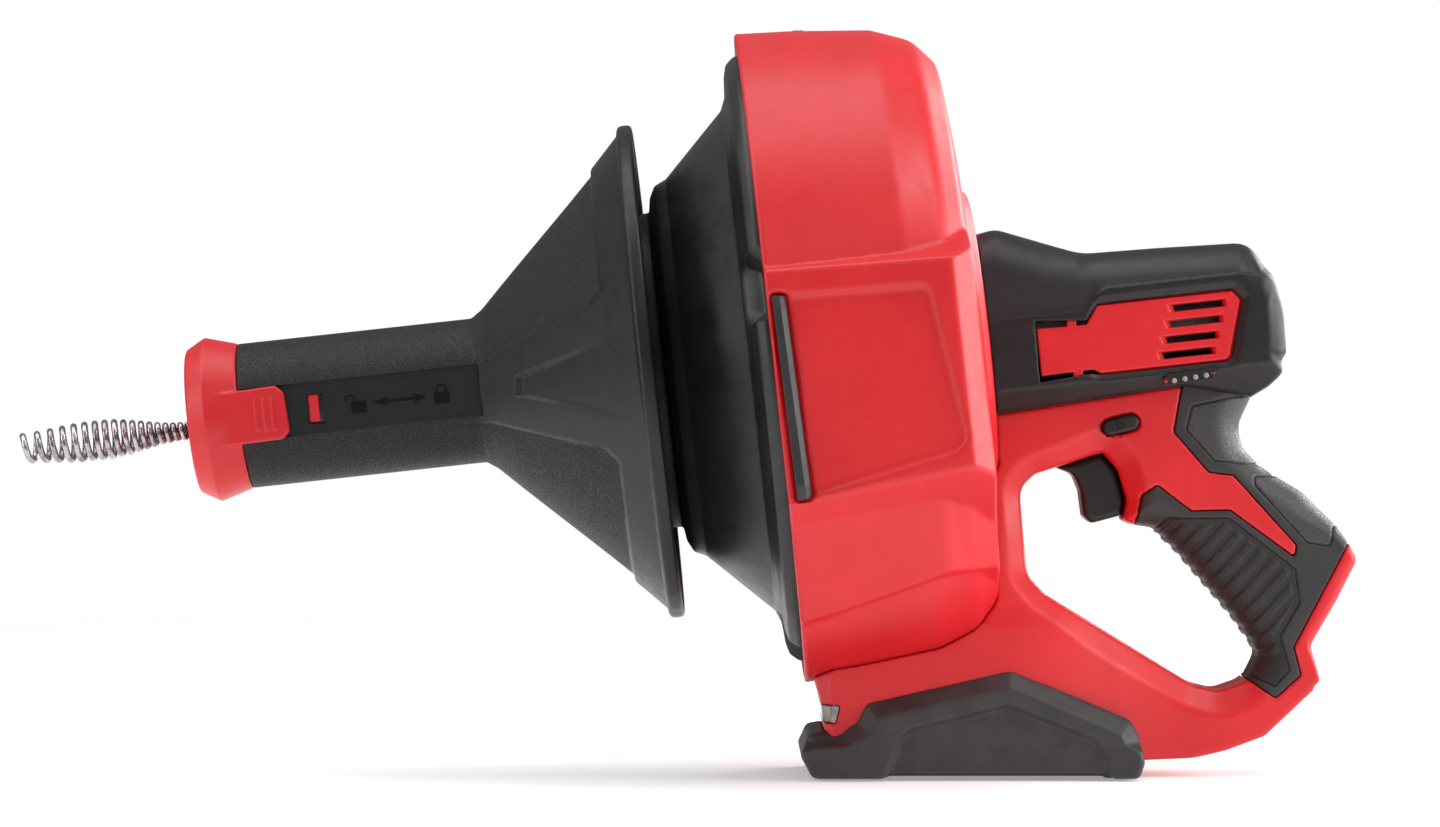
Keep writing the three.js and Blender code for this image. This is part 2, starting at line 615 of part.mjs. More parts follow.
const TRIGGER_OUTLINE = [
  [30.4, 108.6], [33.2, 107.7], [35.9, 106.1], [37.6, 103.7], [38.4, 101.2], [39.2, 96], [39.9, 92],
  [41.4, 90], [43.6, 89.4], [53, 91.6], [54.1, 92.3], [54.8, 94.9], [54.8, 98], [54.1, 101.9],
  [52.7, 105.7], [50.3, 109.7], [47.8, 113.1], [46.2, 113.7],
];
const TRIGGER_POCKET = [
  [45, 114], [46, 114.5], [55.4, 117.6], [59, 113.6], [61.6, 109], [63.2, 104.4], [63.6, 99], [63.4, 95],
  [61.6, 91.6], [53.2, 91.2], [50, 100],
];
const TRIGGER_TILT = THREE.MathUtils.degToRad(18);
const TRIGGER_HALF = 9;
const PLUNGER_START = [49, 103];
const SWITCH_PLACE = [52.2, 123.9];
const SWITCH_TILT = THREE.MathUtils.degToRad(14);

const SOCKET_POINT = [102.9, 85.3]; // on the battery socket's axis
const SOCKET_TILT = THREE.MathUtils.degToRad(43.8);
const SOCKET = { bore: 13.8, radius: 15.1, depth: -9, mouth: 31.5 };

function directionPill(length, height, y0, y1) {
  const outline = [];
  for (let i = 0; i < 16; i++) {
    const angle = (2 * Math.PI * i) / 16;
    const side = Math.sign(Math.cos(angle)) * (length - height) * 0.5;
    outline.push([side + 0.5 * height * Math.cos(angle), 0.5 * height * Math.sin(angle)]);
  }
  return aimed(plate(outline, y0, y1), -SWITCH_TILT, SWITCH_PLACE);
}

function addFrame() {
  const outside = plate(FRAME_OUTLINE, -HANDLE_HALF, HANDLE_HALF, { bevel: 6, hole: LOOP_OUTLINE });
  const core = (grow) => {
    const reach = HANDLE_HALF - SKIN + grow;
    return plate(FRAME_OUTLINE, -reach, reach, { bevel: 4, inset: SKIN - grow, hole: LOOP_OUTLINE });
  };
  const wall = SKIN + HANDLE_WALL;
  const hollow = plate(FRAME_OUTLINE, -HANDLE_HALF + wall, HANDLE_HALF - wall, {
    inset: wall, hole: LOOP_OUTLINE,
  });
  const base = common(plate(BASE_OUTLINE, -36, 36), prism(BASE_PLAN, 0, 90));
  const insidePlan = BASE_PLAN.map(([x, y]) => [x + (x < -40 ? 3 : -1), y - Math.sign(y) * 3.5]);
  const baseHollow = common(plate(BASE_OUTLINE, -36, 36, { inset: 3.5 }), prism(insidePlan, 0, 90));
  const overmouldTool = (grow) => plate(OVERMOULD_OUTLINE, -60, 60, { inset: -grow });

  const keepOut = [
    plate(TRIGGER_POCKET, -TRIGGER_HALF - 0.4, TRIGGER_HALF + 0.4),
    aimed(rod(SOCKET.radius + GAP, SOCKET.depth, 70), SOCKET_TILT, SOCKET_POINT),
    directionPill(13.8, 6.3, -40, 40),
    plate(LENS_OUTLINE, -50, 50, { inset: -GAP }),
    solidInDriveFrame(shroudBody(GAP, -8)),
  ];
  const innerSpace = cut(join(hollow, baseHollow), solidInDriveFrame(shroudBody(SHROUD_WALL, -8)));
  const envelope = cut(join(outside, base), keepOut.at(-1));
  const red = cut(
    join(cut(outside, overmouldTool(GAP)), core(0), base),
    innerSpace,
    ...keepOut,
  );
  addHalves("handle_frame", red, envelope, FRAME_SCREWS, RED, "frame_screw");
  const overmould = cut(common(outside, overmouldTool(0)), core(GAP), ...keepOut);
  for (const side of SIDES) add(model, `grip_overmould_${side}`, half(overmould, side), GRIP);
}

// ---------------------------------------------------------------- what the handle holds

function addTrigger() {
  const trigger = plate(TRIGGER_OUTLINE, -TRIGGER_HALF, TRIGGER_HALF, { bevel: 1.2, inset: 0.05 });
  const plunger = aimed(rod(2.2, 0, 21, 12), -TRIGGER_TILT, PLUNGER_START);
  add(model, "trigger", join(trigger, plunger), GRIP);

  const body = aimed(block(17, 31, -8, 8, -9, 6), -TRIGGER_TILT, PLUNGER_START);
  const port = aimed(rod(2.7, 10, 29.5, 12), -TRIGGER_TILT, PLUNGER_START);
  add(model, "switch_module", cut(body, port), INNER);
  const reach = HANDLE_HALF + 2;
  add(model, "direction_switch", directionPill(13, 5.5, -reach, reach), GRIP);
}

function addBatterySocket() {
  const { bore, radius, depth, mouth } = SOCKET;
  const floor = 1.5;
  const liner = revolve([
    [mouth, bore], [mouth, radius], [depth + GAP, radius], [depth + GAP, 4], [depth + floor, 4],
    [depth + floor, bore],
  ]);
  add(model, "battery_socket", aimed(liner, SOCKET_TILT, SOCKET_POINT), INNER);
  const seatAt = depth + floor + GAP;
  const blades = [-5, 0, 5].map((y) => block(seatAt + 3, seatAt + 9, y - 0.5, y + 0.5, -3, 3));
  const terminals = join(rod(9, seatAt, seatAt + 4, 16), ...blades);
  add(model, "terminal_block", aimed(terminals, SOCKET_TILT, SOCKET_POINT), BRASS);
}

const BOOT_OUTLINE = [
  [-57.6, 0], [-59.4, 1.6], [-59.4, 6.6], [-57, 9.5], [-41.3, 11.2], [-39.1, 14.4], [-37.9, 19.5],
  [-35.8, 21.8], [12.9, 35.8], [53.5, 18], [56.5, 14.4], [58.4, 8], [58.4, 1.8], [56.8, 0],
];
const BOOT_FLOOR = 3;

function addFoot() {
  const solid = plate(BOOT_OUTLINE, -BOOT_HALF, BOOT_HALF);
  const plan = [
    [-60, 30], [-50, BOOT_HALF], [50, BOOT_HALF], [60, 32], [60, -32], [50, -BOOT_HALF],
    [-50, -BOOT_HALF], [-60, -30],
  ];
  const seatPlan = BASE_PLAN.map(([x, y]) => [x + Math.sign(x) * GAP, y + Math.sign(y) * GAP]);
  const baseSeat = common(plate(BASE_OUTLINE, -40, 40, { inset: -GAP }), prism(seatPlan, 0, 90));
  const handleSeat = plate(FRAME_OUTLINE, -HANDLE_HALF - GAP, HANDLE_HALF + GAP, { inset: -GAP });
  const middle = block(-48, 57, -20, 20, BOOT_FLOOR, 60);
  const boot = cut(common(solid, prism(plan, -1, 60)), baseSeat, handleSeat, middle);
  add(model, "foot_boot", boot, RUBBER);
  add(model, "worklight_lens", common(plate(LENS_OUTLINE, -40, 40), prism(BASE_PLAN, 0, 60)), LENS);
  add(model, "worklight_board", block(-46.4, -44.8, -14, 14, 17, 26), BOARD);
  add(model, "control_board", block(-30, 30, -22, 22, 10, 11.6), BOARD);
}

addShroud();
addDrum();
addCable();
addJaws();
addFrontGrip();
addGearbox();
addMotor();
addMotorCover();
addFrame();
addTrigger();
addBatterySocket();
addFoot();

export default model;
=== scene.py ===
"""A cordless hand-held drain snake: the finished surfaces and materials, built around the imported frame.

Sizes are in millimetres until a mesh is made. The row frame has +Z up and the nose along -X. The drive
frame lies on the drum's axis: u runs along the axis towards the motor, y is the row's own y, and r points
up from the axis. Large mouldings are signed distance fields, negative inside, meshed on a regular grid;
round pieces are lathed, and wires are swept.
"""

import json
import math

import bpy
import numpy as np
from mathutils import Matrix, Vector


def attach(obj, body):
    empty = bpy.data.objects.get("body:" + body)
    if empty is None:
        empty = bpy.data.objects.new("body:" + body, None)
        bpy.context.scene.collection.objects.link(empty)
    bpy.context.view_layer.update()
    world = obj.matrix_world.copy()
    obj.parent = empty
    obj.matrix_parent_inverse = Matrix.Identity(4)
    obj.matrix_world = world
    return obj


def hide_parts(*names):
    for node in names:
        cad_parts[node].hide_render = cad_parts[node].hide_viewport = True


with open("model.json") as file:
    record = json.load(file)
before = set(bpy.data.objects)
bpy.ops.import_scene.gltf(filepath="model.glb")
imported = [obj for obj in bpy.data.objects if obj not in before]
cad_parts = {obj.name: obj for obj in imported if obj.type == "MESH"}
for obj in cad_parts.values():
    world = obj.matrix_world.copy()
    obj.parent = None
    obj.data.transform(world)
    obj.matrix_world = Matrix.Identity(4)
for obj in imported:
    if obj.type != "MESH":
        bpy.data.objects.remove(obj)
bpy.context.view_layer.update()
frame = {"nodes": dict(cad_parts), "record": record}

MM = 0.001
AXIS_TILT = math.radians(6.25)
AXIS_START = (-71.8, 147.6)  # x and z; y is 0
COARSEN = 1.0

record = frame["record"]
BODY_OF = {node: body for body, nodes in record["behaviour"]["bodies"].items() for node in nodes}
SLOT_OF = {part["node"]: part["material_slot"] for part in record["subparts"]}

# ------------------------------------------------------------------ camera and stage

CAMERA_PLACE = (-0.0893, -1.75, 0.128)
LENS = 122.5


def add_camera():
    camera = bpy.data.objects.new("camera", bpy.data.cameras.new("camera"))
    bpy.context.scene.collection.objects.link(camera)
    camera.location = CAMERA_PLACE
    camera.rotation_euler = (math.pi / 2, 0, 0)
    camera.data.lens = LENS
    camera.data.sensor_width = 36
    camera.data.clip_start = 0.1
    camera.data.clip_end = 100
    bpy.context.scene.camera = camera


def aim(obj, target):
    """Turns a light so that it shines at the target."""
    obj.rotation_euler = (Vector(target) - obj.location).to_track_quat("-Z", "Y").to_euler()


def soft_box(name, place, target, size, power):
    light = bpy.data.lights.new(name, "AREA")
    light.shape = "RECTANGLE"
    light.size, light.size_y = size
    light.energy = power
    obj = bpy.data.objects.new(name, light)
    bpy.context.scene.collection.objects.link(obj)
    obj.location = place
    aim(obj, target)
    obj.visible_camera = False


def add_lights():
    middle = (-0.05, 0, 0.14)
    soft_box("top_left_box", (-0.5, -0.05, 1.3), (-0.1, 0, 0.15), (1.0, 1.9), 13.5)
    soft_box("right_box", (1.5, -0.12, 0.45), (0.05, 0, 0.14), (1.7, 1.0), 28)
    soft_box("rear_right_box", (1.2, 1.25, 0.7), (0.05, 0, 0.14), (0.8, 1.0), 18)
    soft_box("top_right_box", (0.68, -0.45, 1.3), (0.03, 0, 0.18), (0.3, 0.5), 5)
    soft_box("left_box", (-1.7, -0.5, 0.5), middle, (0.35, 0.9), 6)
    soft_box("front_fill", (0.2, -2.4, 1.9), middle, (1.6, 0.9), 6)


def add_world():
    world = bpy.data.worlds.new("studio")
    bpy.context.scene.world = world
    world.use_nodes = True
    nodes, links = world.node_tree.nodes, world.node_tree.links
    light = nodes["Background"]
    light.inputs["Color"].default_value = (1, 1, 1, 1)
    light.inputs["Strength"].default_value = 0.25
    seen = nodes.new("ShaderNodeBackground")
    seen.inputs["Color"].default_value = (1, 1, 1, 1)
    seen.inputs["Strength"].default_value = 1.0
    path = nodes.new("ShaderNodeLightPath")
    mix = nodes.new("ShaderNodeMixShader")
    links.new(path.outputs["Is Camera Ray"], mix.inputs["Fac"])
    links.new(light.outputs["Background"], mix.inputs[1])
    links.new(seen.outputs["Background"], mix.inputs[2])
    links.new(mix.outputs["Shader"], nodes["World Output"].inputs["Surface"])


def add_floor():
    """A pale sheet that fades into the white surroundings."""
    half, solid_to, gone_by = 1.6, 0.5, 1.4
    mesh = bpy.data.meshes.new("floor")
    corners = [(-half, -half, 0), (half, -half, 0), (half, half, 0), (-half, half, 0)]
    mesh.from_pydata(corners, [], [(0, 1, 2, 3)])
    floor = bpy.data.objects.new("floor", mesh)
    bpy.context.scene.collection.objects.link(floor)
    floor.location = (-0.08, 0, -0.0006)
    pale = bpy.data.materials.new("floor_pale")
    pale.use_nodes = True
    nodes, links = pale.node_tree.nodes, pale.node_tree.links
    shader = nodes["Principled BSDF"]
    shader.inputs["Base Color"].default_value = (0.9, 0.9, 0.9, 1)
    shader.inputs["Roughness"].default_value = 0.9
    shader.inputs["Specular IOR Level"].default_value = 0.1
    shader.inputs["Emission Color"].default_value = (1, 1, 1, 1)
    shader.inputs["Emission Strength"].default_value = 0.3
    length = nodes.new("ShaderNodeVectorMath")
    length.operation = "LENGTH"
    fade = nodes.new("ShaderNodeMapRange")
    fade.inputs["From Min"].default_value = solid_to
    fade.inputs["From Max"].default_value = gone_by
    clear = nodes.new("ShaderNodeBsdfTransparent")
    mix = nodes.new("ShaderNodeMixShader")
    links.new(nodes.new("ShaderNodeTexCoord").outputs["Object"], length.inputs[0])
    links.new(length.outputs["Value"], fade.inputs["Value"])
    links.new(fade.outputs["Result"], mix.inputs["Fac"])
    links.new(shader.outputs["BSDF"], mix.inputs[1])
    links.new(clear.outputs["BSDF"], mix.inputs[2])
    links.new(mix.outputs["Shader"], nodes["Material Output"].inputs["Surface"])
    mesh.materials.append(pale)


# ------------------------------------------------------------------ materials


class Look:
    """A Principled material built node by node. Textures use object coordinates, in metres."""

    def __init__(self, name, colour, roughness, **sockets):
        self.material = bpy.data.materials.new(name)
        self.material.use_nodes = True
        self.nodes = self.material.node_tree.nodes
        self.links = self.material.node_tree.links
        self.shader = self.nodes["Principled BSDF"]
        self.colour = colour
        self.shader.inputs["Base Color"].default_value = (*colour, 1)
        self.shader.inputs["Roughness"].default_value = roughness
        for key, value in sockets.items():
            self.shader.inputs[key.replace("_", " ")].default_value = value
        self.place = self.nodes.new("ShaderNodeTexCoord").outputs["Object"]
        self.relief = None

    def noise(self, size_mm, detail=2.0, rough=0.5, stretch=(1, 1, 1)):
        """Noise whose blobs are about size_mm across."""
        mapping = self.nodes.new("ShaderNodeMapping")
        mapping.inputs["Scale"].default_value = stretch
        self.links.new(self.place, mapping.inputs["Vector"])
        node = self.nodes.new("ShaderNodeTexNoise")
        node.inputs["Scale"].default_value = 1 / (size_mm * MM)
        node.inputs["Detail"].default_value = detail
        node.inputs["Roughness"].default_value = rough
        self.links.new(mapping.outputs["Vector"], node.inputs["Vector"])
        return node.outputs["Fac"]

    def cells(self, size_mm, feature="SMOOTH_F1"):
        """Rounded cells about size_mm across: high at their edges, low in their middles."""
        node = self.nodes.new("ShaderNodeTexVoronoi")
        node.feature = feature
        node.inputs["Scale"].default_value = 1 / (size_mm * MM)
        self.links.new(self.place, node.inputs["Vector"])
        return node.outputs["Distance"]

    def span(self, value, low, high, out_low, out_high):
        node = self.nodes.new("ShaderNodeMapRange")
        for key, number in (("From Min", low), ("From Max", high), ("To Min", out_low), ("To Max", out_high)):
            node.inputs[key].default_value = number
        self.links.new(value, node.inputs["Value"])
        return node.outputs["Result"]

    def tint(self, value, other):
        """Mixes the colour towards another one by a 0 to 1 value."""
        node = self.nodes.new("ShaderNodeMix")
        node.data_type = "RGBA"
        node.inputs["A"].default_value = (*self.colour, 1)
        node.inputs["B"].default_value = (*other, 1)
        self.links.new(value, node.inputs["Factor"])
        self.links.new(node.outputs["Result"], self.shader.inputs["Base Color"])

    def shine(self, value):
        self.links.new(value, self.shader.inputs["Roughness"])

    def bump(self, height, depth_mm, strength=1.0):
        """Adds relief of about depth_mm to what is there already."""
        node = self.nodes.new("ShaderNodeBump")
        node.inputs["Strength"].default_value = strength
        node.inputs["Distance"].default_value = depth_mm * MM
        self.links.new(height, node.inputs["Height"])
        if self.relief:
            self.links.new(self.relief, node.inputs["Normal"])
        self.relief = node.outputs["Normal"]
        self.links.new(self.relief, self.shader.inputs["Normal"])

    def mottle(self, size_mm, other):
        """Patches of another colour."""
        self.tint(self.span(self.noise(size_mm, 3), 0.35, 0.7, 0, 1), other)

    def uneven(self, size_mm, low, high):
        """Roughness that wanders between two values."""
        self.shine(self.span(self.noise(size_mm, 4), 0.3, 0.7, low, high))

    def grain(self, size_mm, depth_mm):
        """The fine texture of a moulded skin."""
        self.bump(self.noise(size_mm, 3, 0.6), depth_mm)


def red_plastic():
    """Satin nylon with a fine spark-eroded grain, a little paler where the flow lines lie."""
    look = Look("red_plastic", (0.66, 0.012, 0.018), 0.4, Specular_IOR_Level=0.5)
    look.mottle(26, (0.60, 0.009, 0.014))
    look.uneven(5, 0.36, 0.45)
    look.grain(0.55, 0.035)
    look.bump(look.noise(9, 2), 0.03, 0.6)
    return look.material


def black_plastic(name="black_plastic", colour=(0.010, 0.0092, 0.0095), roughness=0.42):
    look = Look(name, colour, roughness, Specular_IOR_Level=0.42)
    look.mottle(14, tuple(c * 1.3 for c in colour))
    look.uneven(4, roughness - 0.05, roughness + 0.06)
    look.grain(0.6, 0.04)
    return look.material


def drum_plastic():
    look = Look("drum_plastic", (0.007, 0.0067, 0.0064), 0.36, Specular_IOR_Level=0.5)
    look.mottle(20, (0.015, 0.0145, 0.014))
    look.uneven(6, 0.34, 0.45)
    look.grain(0.7, 0.03)
    return look.material


def pebbled_plastic():
    """Coarse, sparkling grain, cut deep into the mould."""
    look = Look("pebbled_plastic", (0.004, 0.0038, 0.0038), 0.6, Specular_IOR_Level=0.4)
    grain = look.noise(0.55, 3, 0.6)
    look.tint(look.span(grain, 0.5, 0.64, 0, 1), (0.019, 0.0186, 0.0186))
    look.shine(look.span(grain, 0.4, 0.65, 0.7, 0.42))
    look.bump(grain, 0.2)
    return look.material


def soft_overmould():
    look = Look("soft_overmould", (0.024, 0.0225, 0.0225), 0.5, Specular_IOR_Level=0.5)
    look.mottle(12, (0.031, 0.029, 0.029))
    look.uneven(3, 0.44, 0.58)
    look.grain(0.5, 0.03)
    return look.material


def leather_pad():
    """The palm pads: small raised pebbles, like grained leather."""
    look = Look("leather_pad", (0.032, 0.031, 0.030), 0.5, Specular_IOR_Level=0.5)
    cells = look.cells(0.62)
    look.tint(look.span(cells, 0.1, 0.5, 0, 1), (0.05, 0.049, 0.0495))
    look.shine(look.span(cells, 0.1, 0.55, 0.62, 0.4))
    look.bump(cells, 0.12)
    look.bump(look.noise(0.4, 2), 0.03)
    return look.material


def ribbed_rubber():
    look = Look("ribbed_rubber", (0.017, 0.0155, 0.015), 0.6, Specular_IOR_Level=0.4)
    grain = look.noise(0.6, 3, 0.6)
    look.tint(look.span(grain, 0.45, 0.7, 0, 1), (0.032, 0.030, 0.029))
    look.bump(grain, 0.08)
    return look.material


def matt_rubber():
    """The boot: matt, with the faint mottle of a dusty moulding."""
    look = Look("matt_rubber", (0.031, 0.030, 0.0305), 0.5, Specular_IOR_Level=0.42)
    look.tint(look.span(look.noise(8, 4), 0.35, 0.7, 0, 1), (0.045, 0.043, 0.0435))
    look.uneven(2.5, 0.44, 0.56)
    look.grain(0.7, 0.05)
    return look.material


def steel(name="steel", colour=(0.55, 0.56, 0.58), roughness=0.3):
    look = Look(name, colour, roughness, Metallic=1.0)
    look.mottle(3, tuple(c * 0.72 for c in colour))
    drawn = look.noise(1.2, 4, stretch=(0.2, 1, 1))
    look.shine(look.span(drawn, 0.3, 0.7, roughness - 0.08, roughness + 0.12))
    look.bump(look.noise(0.4, 3, stretch=(0.15, 1, 1)), 0.015)
    return look.material


def spring_steel():
    """Drawn wire, bright with brown and blue heat tints."""
    look = Look("spring_steel", (0.50, 0.48, 0.50), 0.22, Metallic=1.0)
    look.tint(look.span(look.noise(4, 3), 0.42, 0.66, 0, 1), (0.24, 0.19, 0.21))
    look.uneven(1.0, 0.16, 0.34)
    look.bump(look.noise(0.25, 2), 0.01)
    return look.material


def wound_cable():
    look = Look("wound_cable", (0.36, 0.35, 0.35), 0.35, Metallic=1.0)
    look.tint(look.span(look.noise(3, 3), 0.4, 0.7, 0, 1), (0.2, 0.18, 0.17))
    look.bump(look.noise(0.8, 2), 0.15)
    return look.material


def plain_plastic():
    look = Look("inner_plastic", (0.06, 0.06, 0.063), 0.5)
    look.mottle(7, (0.08, 0.08, 0.083))
    look.bump(look.noise(0.8, 3), 0.03)
    return look.material


def circuit_board():
    look = Look("board", (0.012, 0.12, 0.05), 0.4)
    look.tint(look.span(look.cells(2.4, "F1"), 0.1, 0.5, 0, 1), (0.02, 0.19, 0.09))
    look.bump(look.cells(2.4, "F1"), 0.05)
    return look.material


def clear_lens():
    """Clear moulding over a pale reflector, with fine vertical flutes."""
    look = Look("clear_lens", (0.60, 0.57, 0.55), 0.12, Transmission_Weight=0.55, IOR=1.5)
    look.tint(look.span(look.noise(2.2, 2, stretch=(1, 3, 0.3)), 0.4, 0.6, 0, 1), (0.26, 0.24, 0.23))
    look.bump(look.noise(1.2, 1, stretch=(1, 3, 0.2)), 0.12)
    return look.material


def ink_black():
    look = Look("pictogram_black", (0.002, 0.002, 0.002), 0.4, Specular_IOR_Level=0.2)
    look.shine(look.span(look.noise(2, 3), 0.3, 0.7, 0.35, 0.45))
    look.bump(look.noise(0.5, 2), 0.01)
    return look.material


def lamp_grey():
    look = Look("lamp_grey", (0.30, 0.30, 0.31), 0.25, Transmission_Weight=0.2)
    look.tint(look.span(look.noise(0.6, 2), 0.4, 0.6, 0, 1), (0.40, 0.40, 0.41))
    return look.material


def make_materials():
    return {
        "red_plastic": red_plastic(),
        "black_plastic": black_plastic(),
        "textured_black": pebbled_plastic(),
        "smooth_black": black_plastic("smooth_black", (0.006, 0.0058, 0.006), 0.4),
        "drum_plastic": drum_plastic(),
        "overmould": soft_overmould(),
        "leather_pad": leather_pad(),
        "ribbed_rubber": ribbed_rubber(),
        "rubber": matt_rubber(),
        "bumper_rubber": black_plastic("bumper_rubber", (0.024, 0.024, 0.026), 0.36),
        "steel": steel(),
        "dark_steel": steel("dark_steel", (0.16, 0.16, 0.17), 0.38),
        "cable_steel": wound_cable(),
        "spring_steel": spring_steel(),
        "brass": steel("brass", (0.62, 0.43, 0.16), 0.3),
        "inner_plastic": plain_plastic(),
        "board": circuit_board(),
        "lens": clear_lens(),
        "pictogram": ink_black(),
        # groove_black is painted shade: a near-black colour for the grip's narrow grooves, standing in for
        # the shade inside them.
        "groove_black": black_plastic("groove_black", (0.004, 0.0037, 0.0037), 0.6),
        "lamp_grey": lamp_grey(),
    }


MATERIALS = make_materials()

# ------------------------------------------------------------------ meshes from arrays


def turned(x, z, place, tilt):
    """(along, across) a line that starts at the place and rises at the tilt."""
    dx, dz = x - place[0], z - place[1]
    c, s = math.cos(tilt), math.sin(tilt)
    return c * dx + s * dz, c * dz - s * dx


def turned_back(along, across, place, tilt):
    """(x, z) of such a place: turned() the other way round."""
    c, s = math.cos(tilt), math.sin(tilt)
    return place[0] + c * along - s * across, place[1] + s * along + c * across


def drive_to_row(points):
    u, y, r = np.asarray(points, float).T
    x, z = turned_back(u, r, AXIS_START, AXIS_TILT)
    return np.stack([x, y, z], 1)


def drive_coordinates(x, z):
    """(u, r) of row-frame places."""
    return turned(x, z, AXIS_START, AXIS_TILT)


def mirrored(points, faces):
    return np.asarray(points) * (1, -1, 1), [face[::-1] for face in faces]


def show(name, points, faces, node, material, drive=False, stands_in=True, smooth=True, choose=None):
    """A finished piece on the body of its CAD node.

    drive says that the points are in the drive frame. stands_in hides the CAD node. choose gives each face's
    material index from its middle.
    """
    points = np.asarray(points, float)
    placed = drive_to_row(points) if drive else points
    mesh = bpy.data.meshes.new(name)
    mesh.from_pydata((placed * MM).tolist(), [], [tuple(int(i) for i in f) for f in faces])
    mesh.update()
    names = [material] if isinstance(material, str) else list(material)
    for key in names:
        mesh.materials.append(MATERIALS[key])
    if smooth:
        mesh.shade_smooth()
    if choose is not None:
        middles = np.array([points[list(f)].mean(0) for f in faces])
        mesh.polygons.foreach_set("material_index", np.asarray(choose(*middles.T), np.int32))
    obj = bpy.data.objects.new(name, mesh)
    bpy.context.scene.collection.objects.link(obj)
    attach(obj, BODY_OF[node])
    if stands_in:
        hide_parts(node)
    return obj


def show_mark(name, points, faces, node, material, drive=False):
    """A thin flat mark that lies on its node's own piece."""
    show(name, points, faces, node, material, drive, stands_in=False, smooth=False)


def show_pair(stem, ending, points, faces, material, **how):
    """A left piece and its mirror image on the right."""
    show(f"{stem}_left_{ending}", points, faces, f"{stem}_left", material, **how)
    show(f"{stem}_right_{ending}", *mirrored(points, faces), f"{stem}_right", material, **how)


def soften(obj, angle_degrees):
    """Smooth shading that keeps edges sharper than the angle."""
    obj.data.set_sharp_from_angle(angle=math.radians(angle_degrees))


# ------------------------------------------------------------------ distance fields


def both(a, b, radius=0.0):
    """Intersection, with its edge rounded."""
    if np.ndim(radius) == 0 and radius == 0:
        return np.maximum(a, b)
    corner = np.hypot(np.maximum(a + radius, 0), np.maximum(b + radius, 0))
    return np.minimum(np.maximum(a + radius, b + radius), 0) + corner - radius


def either(a, b, radius=0.0):
    """Union, with its inner corner filled."""
    return -both(-a, -b, radius)


def without(a, b, radius=0.0):
    return both(a, -b, radius)


def meet(shape, *others):
    """Intersection with several others in turn, each given with the radius of the edge that it makes."""
    for other, radius in others:
        shape = both(shape, other, radius)
    return shape


def sloped(face, side, slope):
    """A flat slope: a face that sinks by slope for each millimetre towards the side."""
    return (face + slope * side) / (1 + slope * slope) ** 0.5


def blend(a, b, share):
    return a + (b - a) * share


def ramp(value, low, high):
    """0 below low, 1 above high, smooth between."""
    t = np.clip((value - low) / (high - low), 0, 1)
    return t * t * (3 - 2 * t)


def filleted(points, radius=0.0, steps=4):
    """A closed outline with rounded corners. A point is (x, y), or (x, y, its own radius)."""
    corners = [np.array(p[:2], float) for p in points]
    radii = [p[2] if len(p) > 2 else radius for p in points]
    out = []
    for i, corner in enumerate(corners):
        before = corners[i - 1] - corner
        after = corners[(i + 1) % len(corners)] - corner
        reach = 0.0
        if radii[i] > 0:
            cosine = before @ after / (np.linalg.norm(before) * np.linalg.norm(after))
            half = math.acos(max(-1.0, min(1.0, cosine))) / 2
            reach = radii[i] / max(math.tan(half), 1e-3)
        reach = min(reach, 0.49 * np.linalg.norm(before), 0.49 * np.linalg.norm(after))
        if reach < 0.02:
            out.append(tuple(corner))
            continue
        start = corner + before / np.linalg.norm(before) * reach
        end = corner + after / np.linalg.norm(after) * reach
        for k in range(steps + 1):
            t = k / steps
            out.append(tuple((1 - t) ** 2 * start + 2 * t * (1 - t) * corner + t * t * end))
    return out


def polygon(outline, a, b):
    """Signed distance to a closed outline in the plane of a and b."""
    nearest = np.float32(1e12)
    inside = False
    for (x0, y0), (x1, y1) in zip(outline, outline[1:] + outline[:1]):
        ex, ey = x1 - x0, y1 - y0
        size = ex * ex + ey * ey
        if size < 1e-12:
            continue
        wx, wy = a - x0, b - y0
        t = np.clip((wx * ex + wy * ey) / size, 0, 1)
        nearest = np.minimum(nearest, (wx - ex * t) ** 2 + (wy - ey * t) ** 2)
        if ey:
            spans = (b < y0) != (b < y1)
            inside = inside ^ (spans & (wx < wy * ex / ey))
    return np.where(inside, -np.sqrt(nearest), np.sqrt(nearest))


